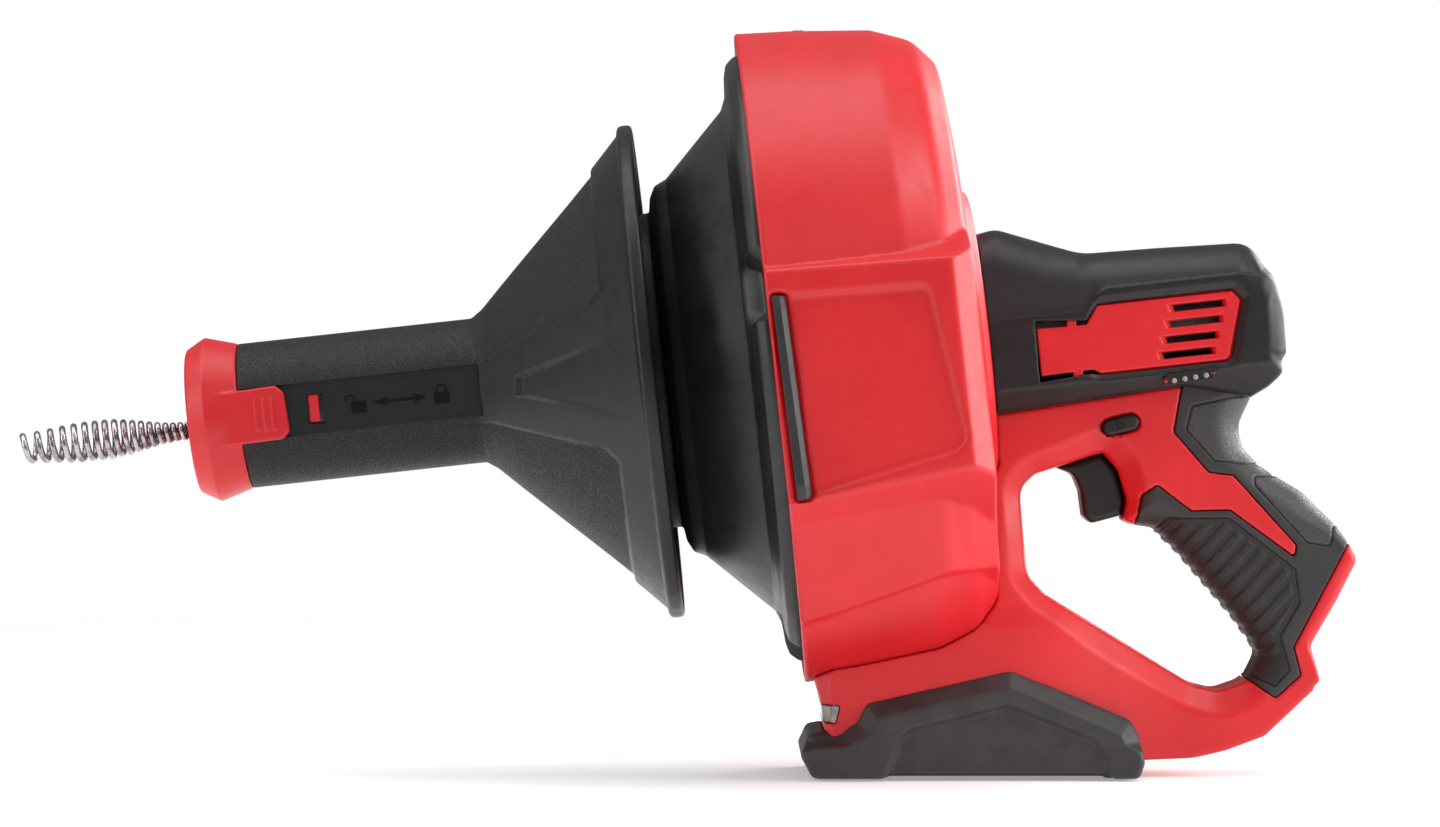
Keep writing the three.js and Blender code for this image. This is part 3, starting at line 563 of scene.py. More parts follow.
def surface_net(field, low, high, step):
    """Meshes field = 0 inside the box.

    Each cell that the surface crosses gets one vertex, and each grid edge that it crosses gets one quad.
    """
    step = step * COARSEN
    axes = [np.arange(a - 2 * step, b + 2.5 * step, step, dtype=np.float32) for a, b in zip(low, high)]
    x, y, z = axes[0][:, None, None], axes[1][None, :, None], axes[2][None, None, :]
    value = np.array(np.broadcast_to(field(x, y, z), [len(a) for a in axes]), np.float32)
    for axis in range(3):  # nothing reaches the grid's outermost layer, so the mesh is closed
        edge = np.moveaxis(value, axis, 0)
        edge[0] = np.maximum(edge[0], 0.01)
        edge[-1] = np.maximum(edge[-1], 0.01)
    inside = value < 0
    count = np.zeros([n - 1 for n in inside.shape], np.uint8)
    for i in (0, 1):
        for j in (0, 1):
            for k in (0, 1):
                count += inside[i : i + count.shape[0], j : j + count.shape[1], k : k + count.shape[2]]
    mixed = (count > 0) & (count < 8)
    cells = np.argwhere(mixed)
    number = np.full(mixed.shape, -1, np.int64)
    number[mixed] = np.arange(len(cells))

    total = np.zeros((len(cells), 3))
    hits = np.zeros(len(cells))
    for axis in range(3):
        others = [n for n in range(3) if n != axis]
        for p in (0, 1):
            for q in (0, 1):
                start = np.zeros(3, int)
                start[others[0]], start[others[1]] = p, q
                end = start.copy()
                end[axis] = 1
                v0 = value[tuple((cells + start).T)]
                v1 = value[tuple((cells + end).T)]
                cut = (v0 < 0) != (v1 < 0)
                t = v0[cut] / (v0[cut] - v1[cut])
                spot = np.repeat(start[None].astype(float), len(t), 0)
                spot[:, axis] = t
                total[cut] += spot
                hits += cut
    points = np.array([a[0] for a in axes]) + step * (cells + total / hits[:, None])

    faces = []
    for axis in range(3):
        b, c = (axis + 1) % 3, (axis + 2) % 3
        rolled = np.moveaxis(inside, (axis, b, c), (0, 1, 2))
        change = rolled[:-1] != rolled[1:]
        change[:, 0] = change[:, -1] = False
        change[:, :, 0] = change[:, :, -1] = False
        spots = np.argwhere(change)
        labels = np.moveaxis(number, (axis, b, c), (0, 1, 2))
        i, j, k = spots.T
        ring = [labels[i, j - 1, k - 1], labels[i, j, k - 1], labels[i, j, k], labels[i, j - 1, k]]
        quad = np.stack(ring, 1)
        leaving = rolled[i, j, k]
        quad[~leaving] = quad[~leaving][:, ::-1]
        faces.append(quad)
    return points, np.concatenate(faces)


# ------------------------------------------------------------------ lathes, sweeps and plates


def finer(profile, spacing):
    """The profile's polyline with points added so that none are further apart than spacing."""
    out = []
    for (x0, y0), (x1, y1) in zip(profile, profile[1:]):
        steps = max(1, math.ceil(math.hypot(x1 - x0, y1 - y0) / spacing))
        out += [(x0 + (x1 - x0) * k / steps, y0 + (y1 - y0) * k / steps) for k in range(steps)]
    return out + [profile[-1]]


def lathe(profile, columns, move=None):
    """Revolves a closed profile of (along, radius) points about the axis.

    move(u, angle, radius) -> (u, radius) adds relief.
    """
    along = np.array([p[0] for p in profile])[:, None]
    radius = np.array([p[1] for p in profile])[:, None]
    angle = np.linspace(0, 2 * math.pi, columns, endpoint=False)[None, :]
    u = np.broadcast_to(along, (len(profile), columns))
    rho = np.broadcast_to(radius, (len(profile), columns))
    if move is not None:
        u, rho = move(u, angle + 0 * u, rho)
    points = np.stack([u, rho * np.sin(angle), rho * np.cos(angle)], -1).reshape(-1, 3)
    i = np.arange(len(profile))[:, None] * columns
    j = np.arange(columns)[None, :]
    i2, j2 = np.roll(i, -1), np.roll(j, -1)
    quads = np.stack([i + j, i + j2, i2 + j2, i2 + j], -1).reshape(-1, 4)
    area = sum(a[0] * b[1] - b[0] * a[1] for a, b in zip(profile, profile[1:] + profile[:1]))
    return points, quads if area > 0 else quads[:, ::-1]


def tube(path, radius, sides):
    """A round wire along a path, with blunt ends."""
    path = np.asarray(path, float)
    tangent = np.gradient(path, axis=0)
    tangent /= np.linalg.norm(tangent, axis=1)[:, None]
    normal = np.cross(tangent[0], (0.3, 0.5, 0.8))
    normal /= np.linalg.norm(normal)
    rings = []
    angle = np.linspace(0, 2 * math.pi, sides, endpoint=False)[:, None]
    for point, along in zip(path, tangent):
        normal = normal - (normal @ along) * along
        normal /= np.linalg.norm(normal)
        side = np.cross(along, normal)
        rings.append(point + radius * (np.cos(angle) * normal + np.sin(angle) * side))
    start_tip = path[0] - tangent[0] * radius * 0.5
    end_tip = path[-1] + tangent[-1] * radius * 0.5
    points = np.concatenate([*rings, [start_tip], [end_tip]])
    n = len(path)
    faces = []
    for i in range(n - 1):
        for j in range(sides):
            k = (j + 1) % sides
            faces.append((i * sides + j, i * sides + k, (i + 1) * sides + k, (i + 1) * sides + j))
    first, last = n * sides, n * sides + 1
    for j in range(sides):
        k = (j + 1) % sides
        faces.append((k, j, first))
        faces.append(((n - 1) * sides + j, (n - 1) * sides + k, last))
    return points, faces


def flat_plate(outline, y0, y1):
    """An outline in the plane of the first and third axes, from y0 to y1, with one face on each side."""
    n = len(outline)
    points = [(a, y0, b) for a, b in outline] + [(a, y1, b) for a, b in outline]
    area = sum(p[0] * q[1] - q[0] * p[1] for p, q in zip(outline, outline[1:] + outline[:1]))
    front = list(range(n))
    faces = [tuple(front), tuple(n + i for i in reversed(front))]
    faces += [(i, i + n, (i + 1) % n + n, (i + 1) % n) for i in range(n)]
    return points, faces if area > 0 else [f[::-1] for f in faces]


# ------------------------------------------------------------------ shroud

GAP = 0.3
SPLIT = 0.15  # each half stops this far from the middle plane
SHROUD_WALL = 3.0
PORT_RADIUS = 19  # where the drive spindle comes in
SHROUD_FRONT = -30  # the filled body runs on past the open rim at 0
PAD_FACE = 116.0
PAD_RECESS_DEPTH = 1.5
BUMPER_FACE = 117.6
PAD_END = 70.6
BUMPER_DEPTH = 2.6
TAB_PLACE = 23
TAB_HALF = 5
SHROUD_PROFILE = filleted([
    (SHROUD_FRONT, 0), (SHROUD_FRONT, 116.2), (0, 116.2), (20, 115.1, 60),
    (48, 112.4, 12), (62, 107.2, 12), (69.6, 98.6, 5),
    (71.4, 82.6, 60), (73.3, 54, 3), (76.3, 50.1, 2), (77.1, 36, 2), (77.1, 0),
])
PAD_RECESS = filleted([(-8, 19.9), (54.9, 18.1, 4), (62.4, -35.4, 4), (57.5, -39.4, 4), (-8, -51.5)])
BUMPER_SLOT = filleted([(1.1, 20.4), (7.0, 20.1), (8.9, -48.2), (7.6, -50), (2.4, -50.3)], 1.5)
BUMPER_BAR = filleted([(1.9, 19.6), (6.3, 19.3), (8, -48.1), (7.2, -49), (3.1, -49.4)], 0.8)


def shroud_body(u, y, r):
    """The shroud as a filled body: barrel, side pads, and a facet below each pad."""
    reach = np.abs(y)
    body = polygon(SHROUD_PROFILE, u, np.hypot(y, r))
    face = reach - PAD_FACE
    rear_end = u - PAD_END
    top_edge = 27.7 - 0.031 * (u - 7.2)
    top = sloped(r - top_edge, face, 0.4)
    low_edge = -49.7 + 0.093 * (u - 8.5)
    bottom = sloped(low_edge - r, face, 0.52)
    rear = sloped(face, u - 63.2, 1.21)
    pad = meet(face, (rear, 1.2), (top, 0.5), (bottom, 0.9), (rear_end, 1.0))
    lean = math.radians(36)
    facet = reach * math.cos(lean) - r * math.sin(lean) - 114.35 + 0.04 * u
    crease = -89.8 + 0.2 * (u - 9.7) + 0.001 * (u - 9.7) ** 2
    low = sloped(crease - r, facet, 0.55)
    back = sloped(facet, u - 52.4, 0.68)
    second = meet(facet, (back, 1.5), (low, 0.5), (np.maximum(rear_end, r + 40), 1.0))
    ahead = SHROUD_FRONT - u
    return either(either(body, np.maximum(second, ahead), 0.5), np.maximum(pad, ahead), 0.5)


def seam_tab(u, y, r):
    """The catch on the top seam: a raised bar between two slots."""
    from_middle = np.abs(u - TAB_PLACE)
    width = np.abs(y) - TAB_HALF
    bar = np.maximum(from_middle - 2.4, width)
    slots = np.maximum(np.abs(from_middle - 3.6) - 0.9, width)
    return np.where(r > 100, 1.4 * ramp(-slots, -0.2, 0.3) - 0.4 * ramp(-bar, -0.2, 0.3), 0)


def shroud_field(u, y, r):
    body = shroud_body(u, y, r)
    reach = np.abs(y)
    recess = PAD_RECESS_DEPTH * ramp(-polygon(PAD_RECESS, u, r), -0.2, 1.3) * ramp(reach, 104, 110)
    slot = both(polygon(BUMPER_SLOT, u, r), PAD_FACE - BUMPER_DEPTH - reach)
    outside = without(body + recess + seam_tab(u, y, r), slot, 0.3)
    shell = without(outside, body + SHROUD_WALL + 1.6 * ramp(reach, 105, 109))
    port = np.maximum(np.hypot(y, r) - PORT_RADIUS, 60 - u)
    return both(both(np.maximum(shell, -port), -u, 0.5), y + SPLIT, 0.3)


def bumper_field(u, y, r):
    """The left bumper: a bar with a sloping rear face and ends that run down into the pad."""
    ends = np.maximum(np.maximum(r - 14.4, -44.3 - r), 0)
    outer = -y - BUMPER_FACE + 0.22 * ends
    rear_slope = sloped(u - 4.3 + 0.0255 * (r - 19.3), outer, 1.1)
    inner = y + PAD_FACE - BUMPER_DEPTH + 0.2
    return meet(polygon(BUMPER_BAR, u, r), (outer, 0.4), (rear_slope, 0.2), (inner, 0))


def make_shroud():
    points, faces = surface_net(shroud_field, (0, -117, -117), (78, 0, 117), 0.95)
    show_pair("shroud", "moulding", points, faces, "red_plastic", drive=True)
    points, faces = surface_net(bumper_field, (1, -119, -51), (9, -113, 21), 0.3)
    show_pair("side_bumper", "bar", points, faces, "bumper_rubber", drive=True)


# ------------------------------------------------------------------ drum

NOTCH_ANGLES = [math.radians(a) for a in (13, 103, 193, 283)]  # from the camera side, turning upwards
NOTCH_FLOOR = math.radians(4.2)  # half the notch, at its floor and at its edge
NOTCH_EDGE = math.radians(6.6)
NOTCH_DEPTH = 6.5
DRUM_FRONT = [
    (-50.5, 14.5), (-50.5, 50.5, 1.5), (-48.8, 55.4, 1.5), (-36.9, 56.4, 1), (-36.1, 61.5, 2),
    (-34, 65.6, 2.5), (-29.7, 67.6, 2), (-7.6, 89.6, 3), (-5.8, 94, 4), (-5.2, 101.5, 4), (-4.2, 105.6, 3),
    (-1, 108.4, 3),
    (30, 108.4, 0.5), (30, 105.9), (0.6, 105.7, 2), (-2.9, 99.5, 3), (-5, 88.6, 3), (-28, 65.6, 1),
    (-33.4, 61.2, 1), (-33.8, 53.7), (-48, 53.6), (-48, 14.5),
]
DRUM_REAR = [
    (30.3, 108.4), (48, 105, 3), (59, 96, 4), (63.5, 84, 3), (65.5, 22), (68, 22), (68, 6.4), (44, 6.4),
    (44, 14), (61.5, 17), (61, 82), (57, 94), (47, 102.3), (30.3, 105.9),
]


def rim_notches(u, angle, rho):
    """Four finger notches press the drum's rolled rim in."""
    from_camera = (angle - 3 * math.pi / 2) % (2 * math.pi)
    press = 0
    for notch in NOTCH_ANGLES:
        apart = np.abs((from_camera - notch + math.pi) % (2 * math.pi) - math.pi)
        press = press + 1 - ramp(apart, NOTCH_FLOOR, NOTCH_EDGE)
    press = press * ramp(rho, 90, 96) * (1 - ramp(u, 6, 12)) * (rho > 88)
    return u + NOTCH_DEPTH * press, rho - 6.0 * press * ramp(rho, 98, 106)


def make_drum():
    front = finer(filleted(DRUM_FRONT, 0.4), 2.0)
    points, quads = lathe(front, 288, rim_notches)
    soften(show("drum_front_moulding", points, quads, "drum_front", "drum_plastic", drive=True), 30)
    points, quads = lathe(finer(filleted(DRUM_REAR, 0.4), 6.0), 192)
    soften(show("drum_rear_moulding", points, quads, "drum_rear", "drum_plastic", drive=True), 30)


# ------------------------------------------------------------------ cable and auger tip

CABLE_END = -207.5
CABLE_RADIUS = 3.175
CABLE_SINK = 1.6  # how far it lies below the axis at its end
SINK_START = 185
NECK_START = -42
CABLE_PITCH = 6.8
CABLE_LAYERS = [(95, 5.5), (88, 5.5), (81, 1.75)]  # radius, turns
TIP_LENGTH = 59
TIP_TURNS = 17
TIP_WIRE = 1.15


def cable_path(per_turn=36):
    """Layers of turns on the drum, a spiral in to the axis, then straight out to the nose."""
    out = []
    angle, along, direction = 0.0, 6.0, 1
    for i, (radius, turns) in enumerate(CABLE_LAYERS):
        steps = round(turns * per_turn)
        inner = CABLE_LAYERS[i + 1][0] if i + 1 < len(CABLE_LAYERS) else radius
        for k in range(steps):
            drop = max(0.0, (k - steps + per_turn / 2) / (per_turn / 2))
            rho = radius + (inner - radius) * drop
            out.append((along, rho * math.cos(angle), rho * math.sin(angle)))
            angle += 2 * math.pi / per_turn
            along += direction * CABLE_PITCH / per_turn
        direction = -direction
    for k in range(per_turn):
        done = k / per_turn
        rho = CABLE_LAYERS[-1][0] * (1 - done * done * (3 - 2 * done))
        out.append((along + (NECK_START - along) * done, rho * math.cos(angle), rho * math.sin(angle)))
        angle += 2 * math.pi / per_turn
    for along in np.linspace(-50, CABLE_END, 40):
        sink = CABLE_SINK * float(ramp(-along, SINK_START, -CABLE_END))
        out.append((along, 0.0, -sink))
    return out


def tip_path(per_turn=40):
    """Close turns that swell into a bulb and taper to the tip."""
    t = np.linspace(0, 1, TIP_TURNS * per_turn)
    distance = TIP_LENGTH * t
    radius = 2.3 + 3.85 * ramp(distance, 2, 30) - 1.65 * ramp(distance, 36, TIP_LENGTH)
    angle = 2 * math.pi * TIP_TURNS * (t + 0.36 * t * (1 - t))
    return np.stack([CABLE_END - 1.5 - distance, radius * np.sin(angle), -3 + radius * np.cos(angle)], 1)


def make_cable():
    points, faces = tube(cable_path(), CABLE_RADIUS, 10)
    show("snake_cable_winding", points, faces, "snake_cable", "cable_steel", drive=True)
    points, faces = tube(tip_path(), TIP_WIRE, 12)
    show("auger_tip_spring", points, faces, "auger_tip", "spring_steel", drive=True)


# ------------------------------------------------------------------ front grip and nose

TUBE_RADIUS = 25.8
LABEL_FLAT = 23.6
LABEL_HALF = 9.15
GRIP_PROFILE = [
    (-187.6, 22.6), (-187.6, TUBE_RADIUS), (-103.8, TUBE_RADIUS, 3), (-101.6, 28.0, 3), (-54.8, 75.0, 3),
    (-45.6, 84.6, 1), (-44.9, 88.2, 2.2), (-39.9, 88.2, 2.2), (-39.6, 84.8, 1.6), (-43, 83, 1), (-53.6, 72.2),
    (-55.6, 68.3), (-101.8, 22.6), (-187.6, 22.6),
]
RECESS_TOP = filleted([
    (-104, 8.0), (-101.9, 8.4, 4), (-60.2, 24, 5), (-55.3, 29.0, 4), (-56.2, 120), (-240, 120), (-240, 8),
])
RECESS_LOW = filleted([
    (-103, -11.1), (-99.8, -11.3, 4), (-60.1, -25, 5), (-55.3, -30, 4), (-56.2, -120), (-240, -120),
    (-240, -11),
])
TRIANGLE_DEPTH = 1.7
WINDOW_DEPTH = 2.2
TRIANGLE = filleted([(-89.2, 3.4, 1), (-89.8, -4.1, 1), (-47.0, -17.8), (-44.6, 16)])
WINDOW = filleted([(-163.6, 5.4, 0.6), (-158.1, 5.1, 0.6), (-158.3, -6.3, 0.6), (-163.9, -5.9, 0.6)])


def grip_rows():
    """The grip's profile, with close rows where the window's ends need them."""
    rows = finer(filleted(GRIP_PROFILE[:-1], 0.3), 0.85)
    out = []
    for (u0, r0), (u1, r1) in zip(rows, rows[1:] + rows[:1]):
        out.append((u0, r0))
        near = any(abs((u0 + u1) / 2 - edge) < 1.0 for edge in (-163.7, -158.1))
        if near and r0 > 25 and r1 > 25:
            out += [(u0 + (u1 - u0) * t, r0 + (r1 - r0) * t) for t in (0.25, 0.5, 0.75)]
    return out


def grip_relief(u, angle, rho):
    """Sinks the grained panels, the side triangle and the window, and flattens the label strip."""
    y, r = rho * np.sin(angle), rho * np.cos(angle)
    outer = (rho > 23) & (u < -39.9) & (rho > 0.98 * (u + 129))
    cone = ramp(u, -103.5, -100) * (1 - ramp(u, -50, -44))
    recess = np.minimum(polygon(RECESS_TOP, u, r), polygon(RECESS_LOW, u, r))
    grained = ramp(-recess, -0.2, 1.6)
    depth = grained * cone * (0.7 + 0.9 * ramp(u, -100, -56))
    side = ramp(np.abs(y), 12, 18)
    wedge = TRIANGLE_DEPTH * (1 - ramp(u, -92, -47))
    depth = depth + side * ramp(-polygon(TRIANGLE, u, r), 0, 1.5) * wedge * cone
    depth = depth * outer
    u2, rho2 = u + 0.7 * depth, rho - 0.71 * depth
    on_tube = (u < -102.5) & (rho > 25)
    flat = (LABEL_FLAT - 0.4) / np.maximum(np.abs(np.sin(angle)), 1e-3)
    strip = on_tube & (np.abs(r) < LABEL_HALF) & (u < -102.9)
    rho2 = np.where(strip, np.minimum(rho2, flat), rho2)
    sink = WINDOW_DEPTH * (polygon(WINDOW, u, r) < 0) * on_tube * (y < 0)
    return u2, rho2 - sink


def grip_material(u, y, r):
    """0 pebbled, 1 smooth."""
    rho = np.hypot(y, r)
    on_tube = (u < -103.2) & (rho > 22.9)
    label = on_tube & (np.abs(r) < LABEL_HALF)
    cone = (u >= -103.2) & (rho > 0.98 * (u + 129) - 2)
    recess = np.minimum(polygon(RECESS_TOP, u, r), polygon(RECESS_LOW, u, r)) < -0.9
    return np.where((on_tube & ~label) | (cone & recess & (u < -56.4)), 0, 1)


def oblong(x, z, half_x, half_z):
    return [(x + a * half_x, z + b * half_z) for a, b in ((-1, -1), (1, -1), (1, 1), (-1, 1))]


def arc(centre_u, centre_r, radius, start, end):
    angles = np.linspace(start, end, 9)
    return [(centre_u + radius * math.cos(a), centre_r + radius * math.sin(a)) for a in angles]


def padlock(u, r, opened):
    """A generic padlock: body and shackle, as two outlines."""
    half_width, half_height, outer, inner = 2.7, 2.1, 2.0, 1.35
    middle, foot = (u - 2.9 if opened else u), r + 2.3
    right_end = foot - 0.3
    left_end = foot + 0.2 if opened else right_end
    shackle = [
        (middle + outer, right_end), *arc(middle, foot + 0.6, outer, 0, math.pi), (middle - outer, left_end),
        (middle - inner, left_end), *arc(middle, foot + 0.6, inner, math.pi, 0), (middle + inner, right_end),
    ]
    return [oblong(u, r, half_width, half_height), shackle]


def double_arrow(u0, u1, r):
    head, barb, shaft = 5.0, 1.7, 0.55
    upper = [(u0 + head, barb), (u0 + head, shaft), (u1 - head, shaft), (u1 - head, barb)]
    lower = [(u, -rise) for u, rise in reversed(upper)]
    return [(u, r + rise) for u, rise in [(u0, 0), *upper, (u1, 0), *lower]]


def tab_field(u, y, r):
    """The red tab in the window."""
    box = np.maximum(np.abs(u + 161.6) - 1.9, np.abs(r + 0.1) - 4.9)
    return both(both(box, -22.75 - y, 0.5), y + 21.3, 0.2)


def make_front_grip():
    points, quads = lathe(grip_rows(), 480, grip_relief)
    looks = ("textured_black", "smooth_black")
    piece = show("front_grip_moulding", points, quads, "front_grip", looks, drive=True, choose=grip_material)
    soften(piece, 38)
    marks = padlock(-145.8, -1.5, True) + padlock(-116.3, -1.3, False) + [double_arrow(-140.6, -121.4, -0.4)]
    for i, outline in enumerate(marks):
        points, faces = flat_plate(outline, -LABEL_FLAT + 0.3, -LABEL_FLAT + 0.9)
        show_mark(f"lock_mark_{i + 1}", points, faces, "front_grip", "pictogram", drive=True)

    points, faces = surface_net(tab_field, (-164, -23.5, -5.5), (-159, -21, 5.5), 0.25)
    show("lock_indicator_tab", points, faces, "lock_indicator", "red_plastic", drive=True)


NOSE_PROFILE = filleted([
    (-206.4, 8.2, 0.8), (-206.4, 25.4, 1.6), (-199.5, 29.3, 1.2), (-187.9, 25.9, 0.5), (-187.9, 21.4),
    (-202.4, 21.4), (-203.4, 8.2, 0.5),
])
NOSE_ARM = filleted([
    (-200, 8.4), (-174.2, 9.2, 0.5), (-171.4, 6.6, 2), (-170.6, -7.4, 2), (-173.4, -9.8, 0.5), (-200, -10.4),
])
ARM_FACE = 26.7
RIB_PLACES = (-181.6, -178.7, -175.8)


def nose_field(u, y, r):
    reach = np.abs(y)
    ring = polygon(NOSE_PROFILE, u, np.hypot(y, r))
    rib = 0
    for place in RIB_PLACES:
        strip = np.maximum(np.abs(u - place) - 0.75, np.abs(r + 0.3) - 5.8)
        rib = rib + 0.55 * ramp(-strip, -0.25, 0.45)
    face = reach - ARM_FACE + 0.05 * np.maximum(u + 188, 0) - rib
    arm = both(polygon(NOSE_ARM, u, r), face, 0.9)
    arm = np.maximum(arm, np.where(u < -187.9, 21.4, LABEL_FLAT + GAP) - reach)
    return either(ring, arm, 0.7)


def make_nose():
    points, faces = surface_net(nose_field, (-207, -30, -30), (-170, 30, 30), 0.5)
    show("nose_cap_moulding", points, faces, "nose_cap", "red_plastic", drive=True)


# ------------------------------------------------------------------ handle frame and its overmould

HANDLE_HALF = 19.5
BASE_HALF = 33.0
SKIN = 2.2
HANDLE_WALL = 2.6
HANDLE_OUTLINE = filleted([
    (-56.2, 36), (-56, 33.6), (-54.2, 27.5, 2), (-53.6, 20.5, 3), (-52.6, 17, 3), (-50.6, 12.5, 2),
    (-47, 3.4), (61.7, 5.6), (77.8, 6.1, 30), (89.1, 8.7, 30), (103.2, 13.9, 6), (120.5, 30.2, 1),
    (121, 31.7, 0.5),
    (122.9, 33.8, 1.2), (119.6, 45.9, 3), (129.1, 62.3), (135.8, 75.5, 3), (135.4, 78.6, 3), (129, 88.6, 8),
    (117.6, 100.2, 20), (103.6, 108.5, 14), (96.6, 115.6, 10), (94.6, 123.6, 10), (99.2, 133.3), (108, 150),
    (80, 170), (-30, 170),
])
LOOP_OUTLINE = filleted([
    (29.8, 108.9), (22.4, 106.6, 5), (16.9, 101.5, 8), (19.0, 71.0, 10), (25.1, 64.4, 4), (78.4, 31.9, 12),
    (87.2, 29.6, 9), (97.2, 33.4, 9), (102.2, 43.4, 6), (93.8, 55.4), (73.9, 78.7), (64.9, 87.4, 8),
    (56.6, 88.6, 1), (53.9, 89.9, 1), (54.3, 93, 2), (55.0, 97.5, 6), (51.6, 108.4, 7), (46.3, 114.3, 1.2),
])
OVERMOULD_OUTLINE = filleted([
    (74.5, 141), (71.1, 121.6, 0.8), (83.5, 107.3, 1.5), (92.1, 106.3, 1.5), (114.5, 81.5, 0.8),
    (113.7, 77, 1), (90.8, 93.8, 1.5), (77.1, 93.4, 1.5), (65.1, 102.6, 0.8), (60, 99, 0.8), (59.1, 93.8),
    (57.4, 87), (57.4, 70), (84, 46), (95.8, 35.4), (106.9, 27.5, 0.8), (115.9, 35.6, 0.8), (113.3, 45.5, 1),
    (133.4, 83.4), (150, 110), (110, 141),
])
INSERT_OUTLINE = filleted([
    (60, 84, 0), (64.5, 87), (69.1, 91), (90.6, 90.9), (113.8, 73.2), (115.4, 61.2), (108.6, 49.4),
    (112, 37.5), (106.5, 31.6), (95.6, 36.6), (84, 44, 0), (58, 72, 0),
], 0.8)
PAD_A = filleted([
    (77.4, 130.6, 1), (92, 133.7, 1), (120, 136), (120, 112), (104, 109.6), (99.8, 110.0, 0.8),
    (85.6, 111.3, 0.8), (75.4, 122.3, 0.8),
])
PAD_B = filleted([
    (99.7, 105.6, 0.8), (107.4, 105.9, 0.8), (118, 112), (140, 96), (127.4, 87.6, 0.8), (126.3, 81.2, 0.8),
    (118.2, 82.4, 0.8), (99.8, 102.6, 0.8),
])
GROOVE_WIDTH = 0.42
RIB_PITCH = 5.3
RIB_HEIGHT = 0.6
RIB_SLANT = math.radians(47)
LENS_OUTLINE = filleted([(-55.5, 25.9), (-47.4, 25.3, 0.6), (-48.8, 19.4, 0.6), (-55.5, 20.4)])
TRIGGER_HALF = 9.0
TRIGGER_TILT = math.radians(18)
PLUNGER_PLACE = (49, 103)
PLUNGER_RADIUS = 2.2
PLUNGER_LENGTH = 21
TRIGGER_POCKET = filleted([
    (40, 112), (46, 114.5), (55.4, 118), (62, 112), (63.4, 100, 4), (61.6, 91.9, 2), (53.4, 91.2), (48, 96),
    (40, 100),
])
SWITCH_PLACE = (52.2, 123.9)
SWITCH_TILT = math.radians(14)
SWITCH_REACH = HANDLE_HALF + 2
SOCKET_PLACE = (102.9, 85.3)
SOCKET_TILT = math.radians(-43.8)
SOCKET_BORE = 13.8
SOCKET_RADIUS = 15.1
SOCKET_MOUTH = 31.5
SOCKET_FLOOR = -9
FRAME_SCREWS = [(20.5, 116.5, 19.5), (66, 123.5, 19.5), (100.5, 22.5, 19.5), (48, 35.5, 25), (14, 50, 33)]
COVER_SCREWS = [(11.5, 186, 20.5), (103, 143.5, 27), (98, 180.6, 25.5)]
SCREW_HEAD = 3.0
SCREW_LENGTH = 12
THREAD_PITCH = 1.1
SEAT_DEPTH = 6.0


def side_reach(x, z):
    """Half the handle's width: it flares towards the boot."""
    return HANDLE_HALF + (BASE_HALF - HANDLE_HALF) * ramp(-x, -76, -14) * ramp(-z, -98, -52)


def handle_body(x, y, z):
    """The whole handle as a filled body: outer edges, the loop's wide soft bevel and the round grip."""
    outer = polygon(HANDLE_OUTLINE, x, z)
    loop = polygon(LOOP_OUTLINE, x, z)
    grip = ramp(-polygon(OVERMOULD_OUTLINE, x, z), -7, 5)
    side = (np.abs(y) - side_reach(x, z)) / 1.05
    edge = 1.6 + 2.0 * ramp(z, 36, 52) + 8.4 * ramp(z, 80, 96)
    body = both(outer, side, np.minimum(edge, 12))
    width = 7.0 + 1.6 * ramp(x, 25, 45)
    band = sloped(np.abs(y) - side_reach(x, z), width - loop, 0.66)
    facet = both(both(band, side, 0.8), -loop, 1.2)
    round_side = both(-loop, side, 11.0)
    front = (np.abs(y) - x - 50 - BASE_HALF) * math.sqrt(0.5)
    top = (z - 127.5 - 0.1537 * (x - 7.9)) * 0.988
    return meet(body, (blend(facet, round_side, grip), 0.4), (front, 1.0), (top, 0.15))


def socket_distance(x, y, z):
    """(distance along the battery socket's axis, distance from it)."""
    along, across = turned(x, z, SOCKET_PLACE, SOCKET_TILT)
    return along, np.hypot(y, across)


def pill(x, z, length, height):
    """The direction switch's outline, at any length and height."""
    along, across = turned(x, z, SWITCH_PLACE, SWITCH_TILT)
    return np.hypot(np.maximum(np.abs(along) - (length - height) / 2, 0), across) - height / 2


def trigger_pocket(x, y, z):
    return np.maximum(polygon(TRIGGER_POCKET, x, z), np.abs(y) - TRIGGER_HALF - 0.5)


def grown_shroud(x, y, z, distance):
    u, r = drive_coordinates(x, z)
    return polygon(SHROUD_PROFILE, u, np.hypot(y, r)) - distance


def screw_seats(screws, x, y, z, right):
    """The screws' sunk seats, on the right half only."""
    nearest = 1e3
    for a, b, face in screws if right else []:
        seat = np.maximum(np.hypot(x - a, z - b) - SCREW_HEAD - GAP, face - SEAT_DEPTH + y)
        nearest = np.minimum(nearest, seat)
    return nearest


def frame_field(right):
    def field(x, y, z):
        body = handle_body(x, y, z)
        skin = np.maximum(polygon(OVERMOULD_OUTLINE, x, z) - GAP, -(body + SKIN))
        shell = without(np.maximum(body, -skin), body + SKIN + HANDLE_WALL)
        along, off = socket_distance(x, y, z)
        tools = trigger_pocket(x, y, z)
        tools = np.minimum(tools, np.maximum(off - SOCKET_RADIUS - GAP, SOCKET_FLOOR - along))
        border = np.maximum(pill(x, z, 14.6, 7.1), HANDLE_HALF - 1.1 - np.abs(y))
        tools = np.minimum(tools, np.minimum(pill(x, z, 13.4, 5.9), border))
        tools = np.minimum(tools, polygon(LENS_OUTLINE, x, z) - GAP)
        tools = np.minimum(tools, screw_seats(FRAME_SCREWS, x, -y, z, right))
        shell = without(shell, tools, 0.15)
        shell = without(shell, grown_shroud(x, y, z, 0.25))
        return both(shell, y + SPLIT, 0.35)

    return field


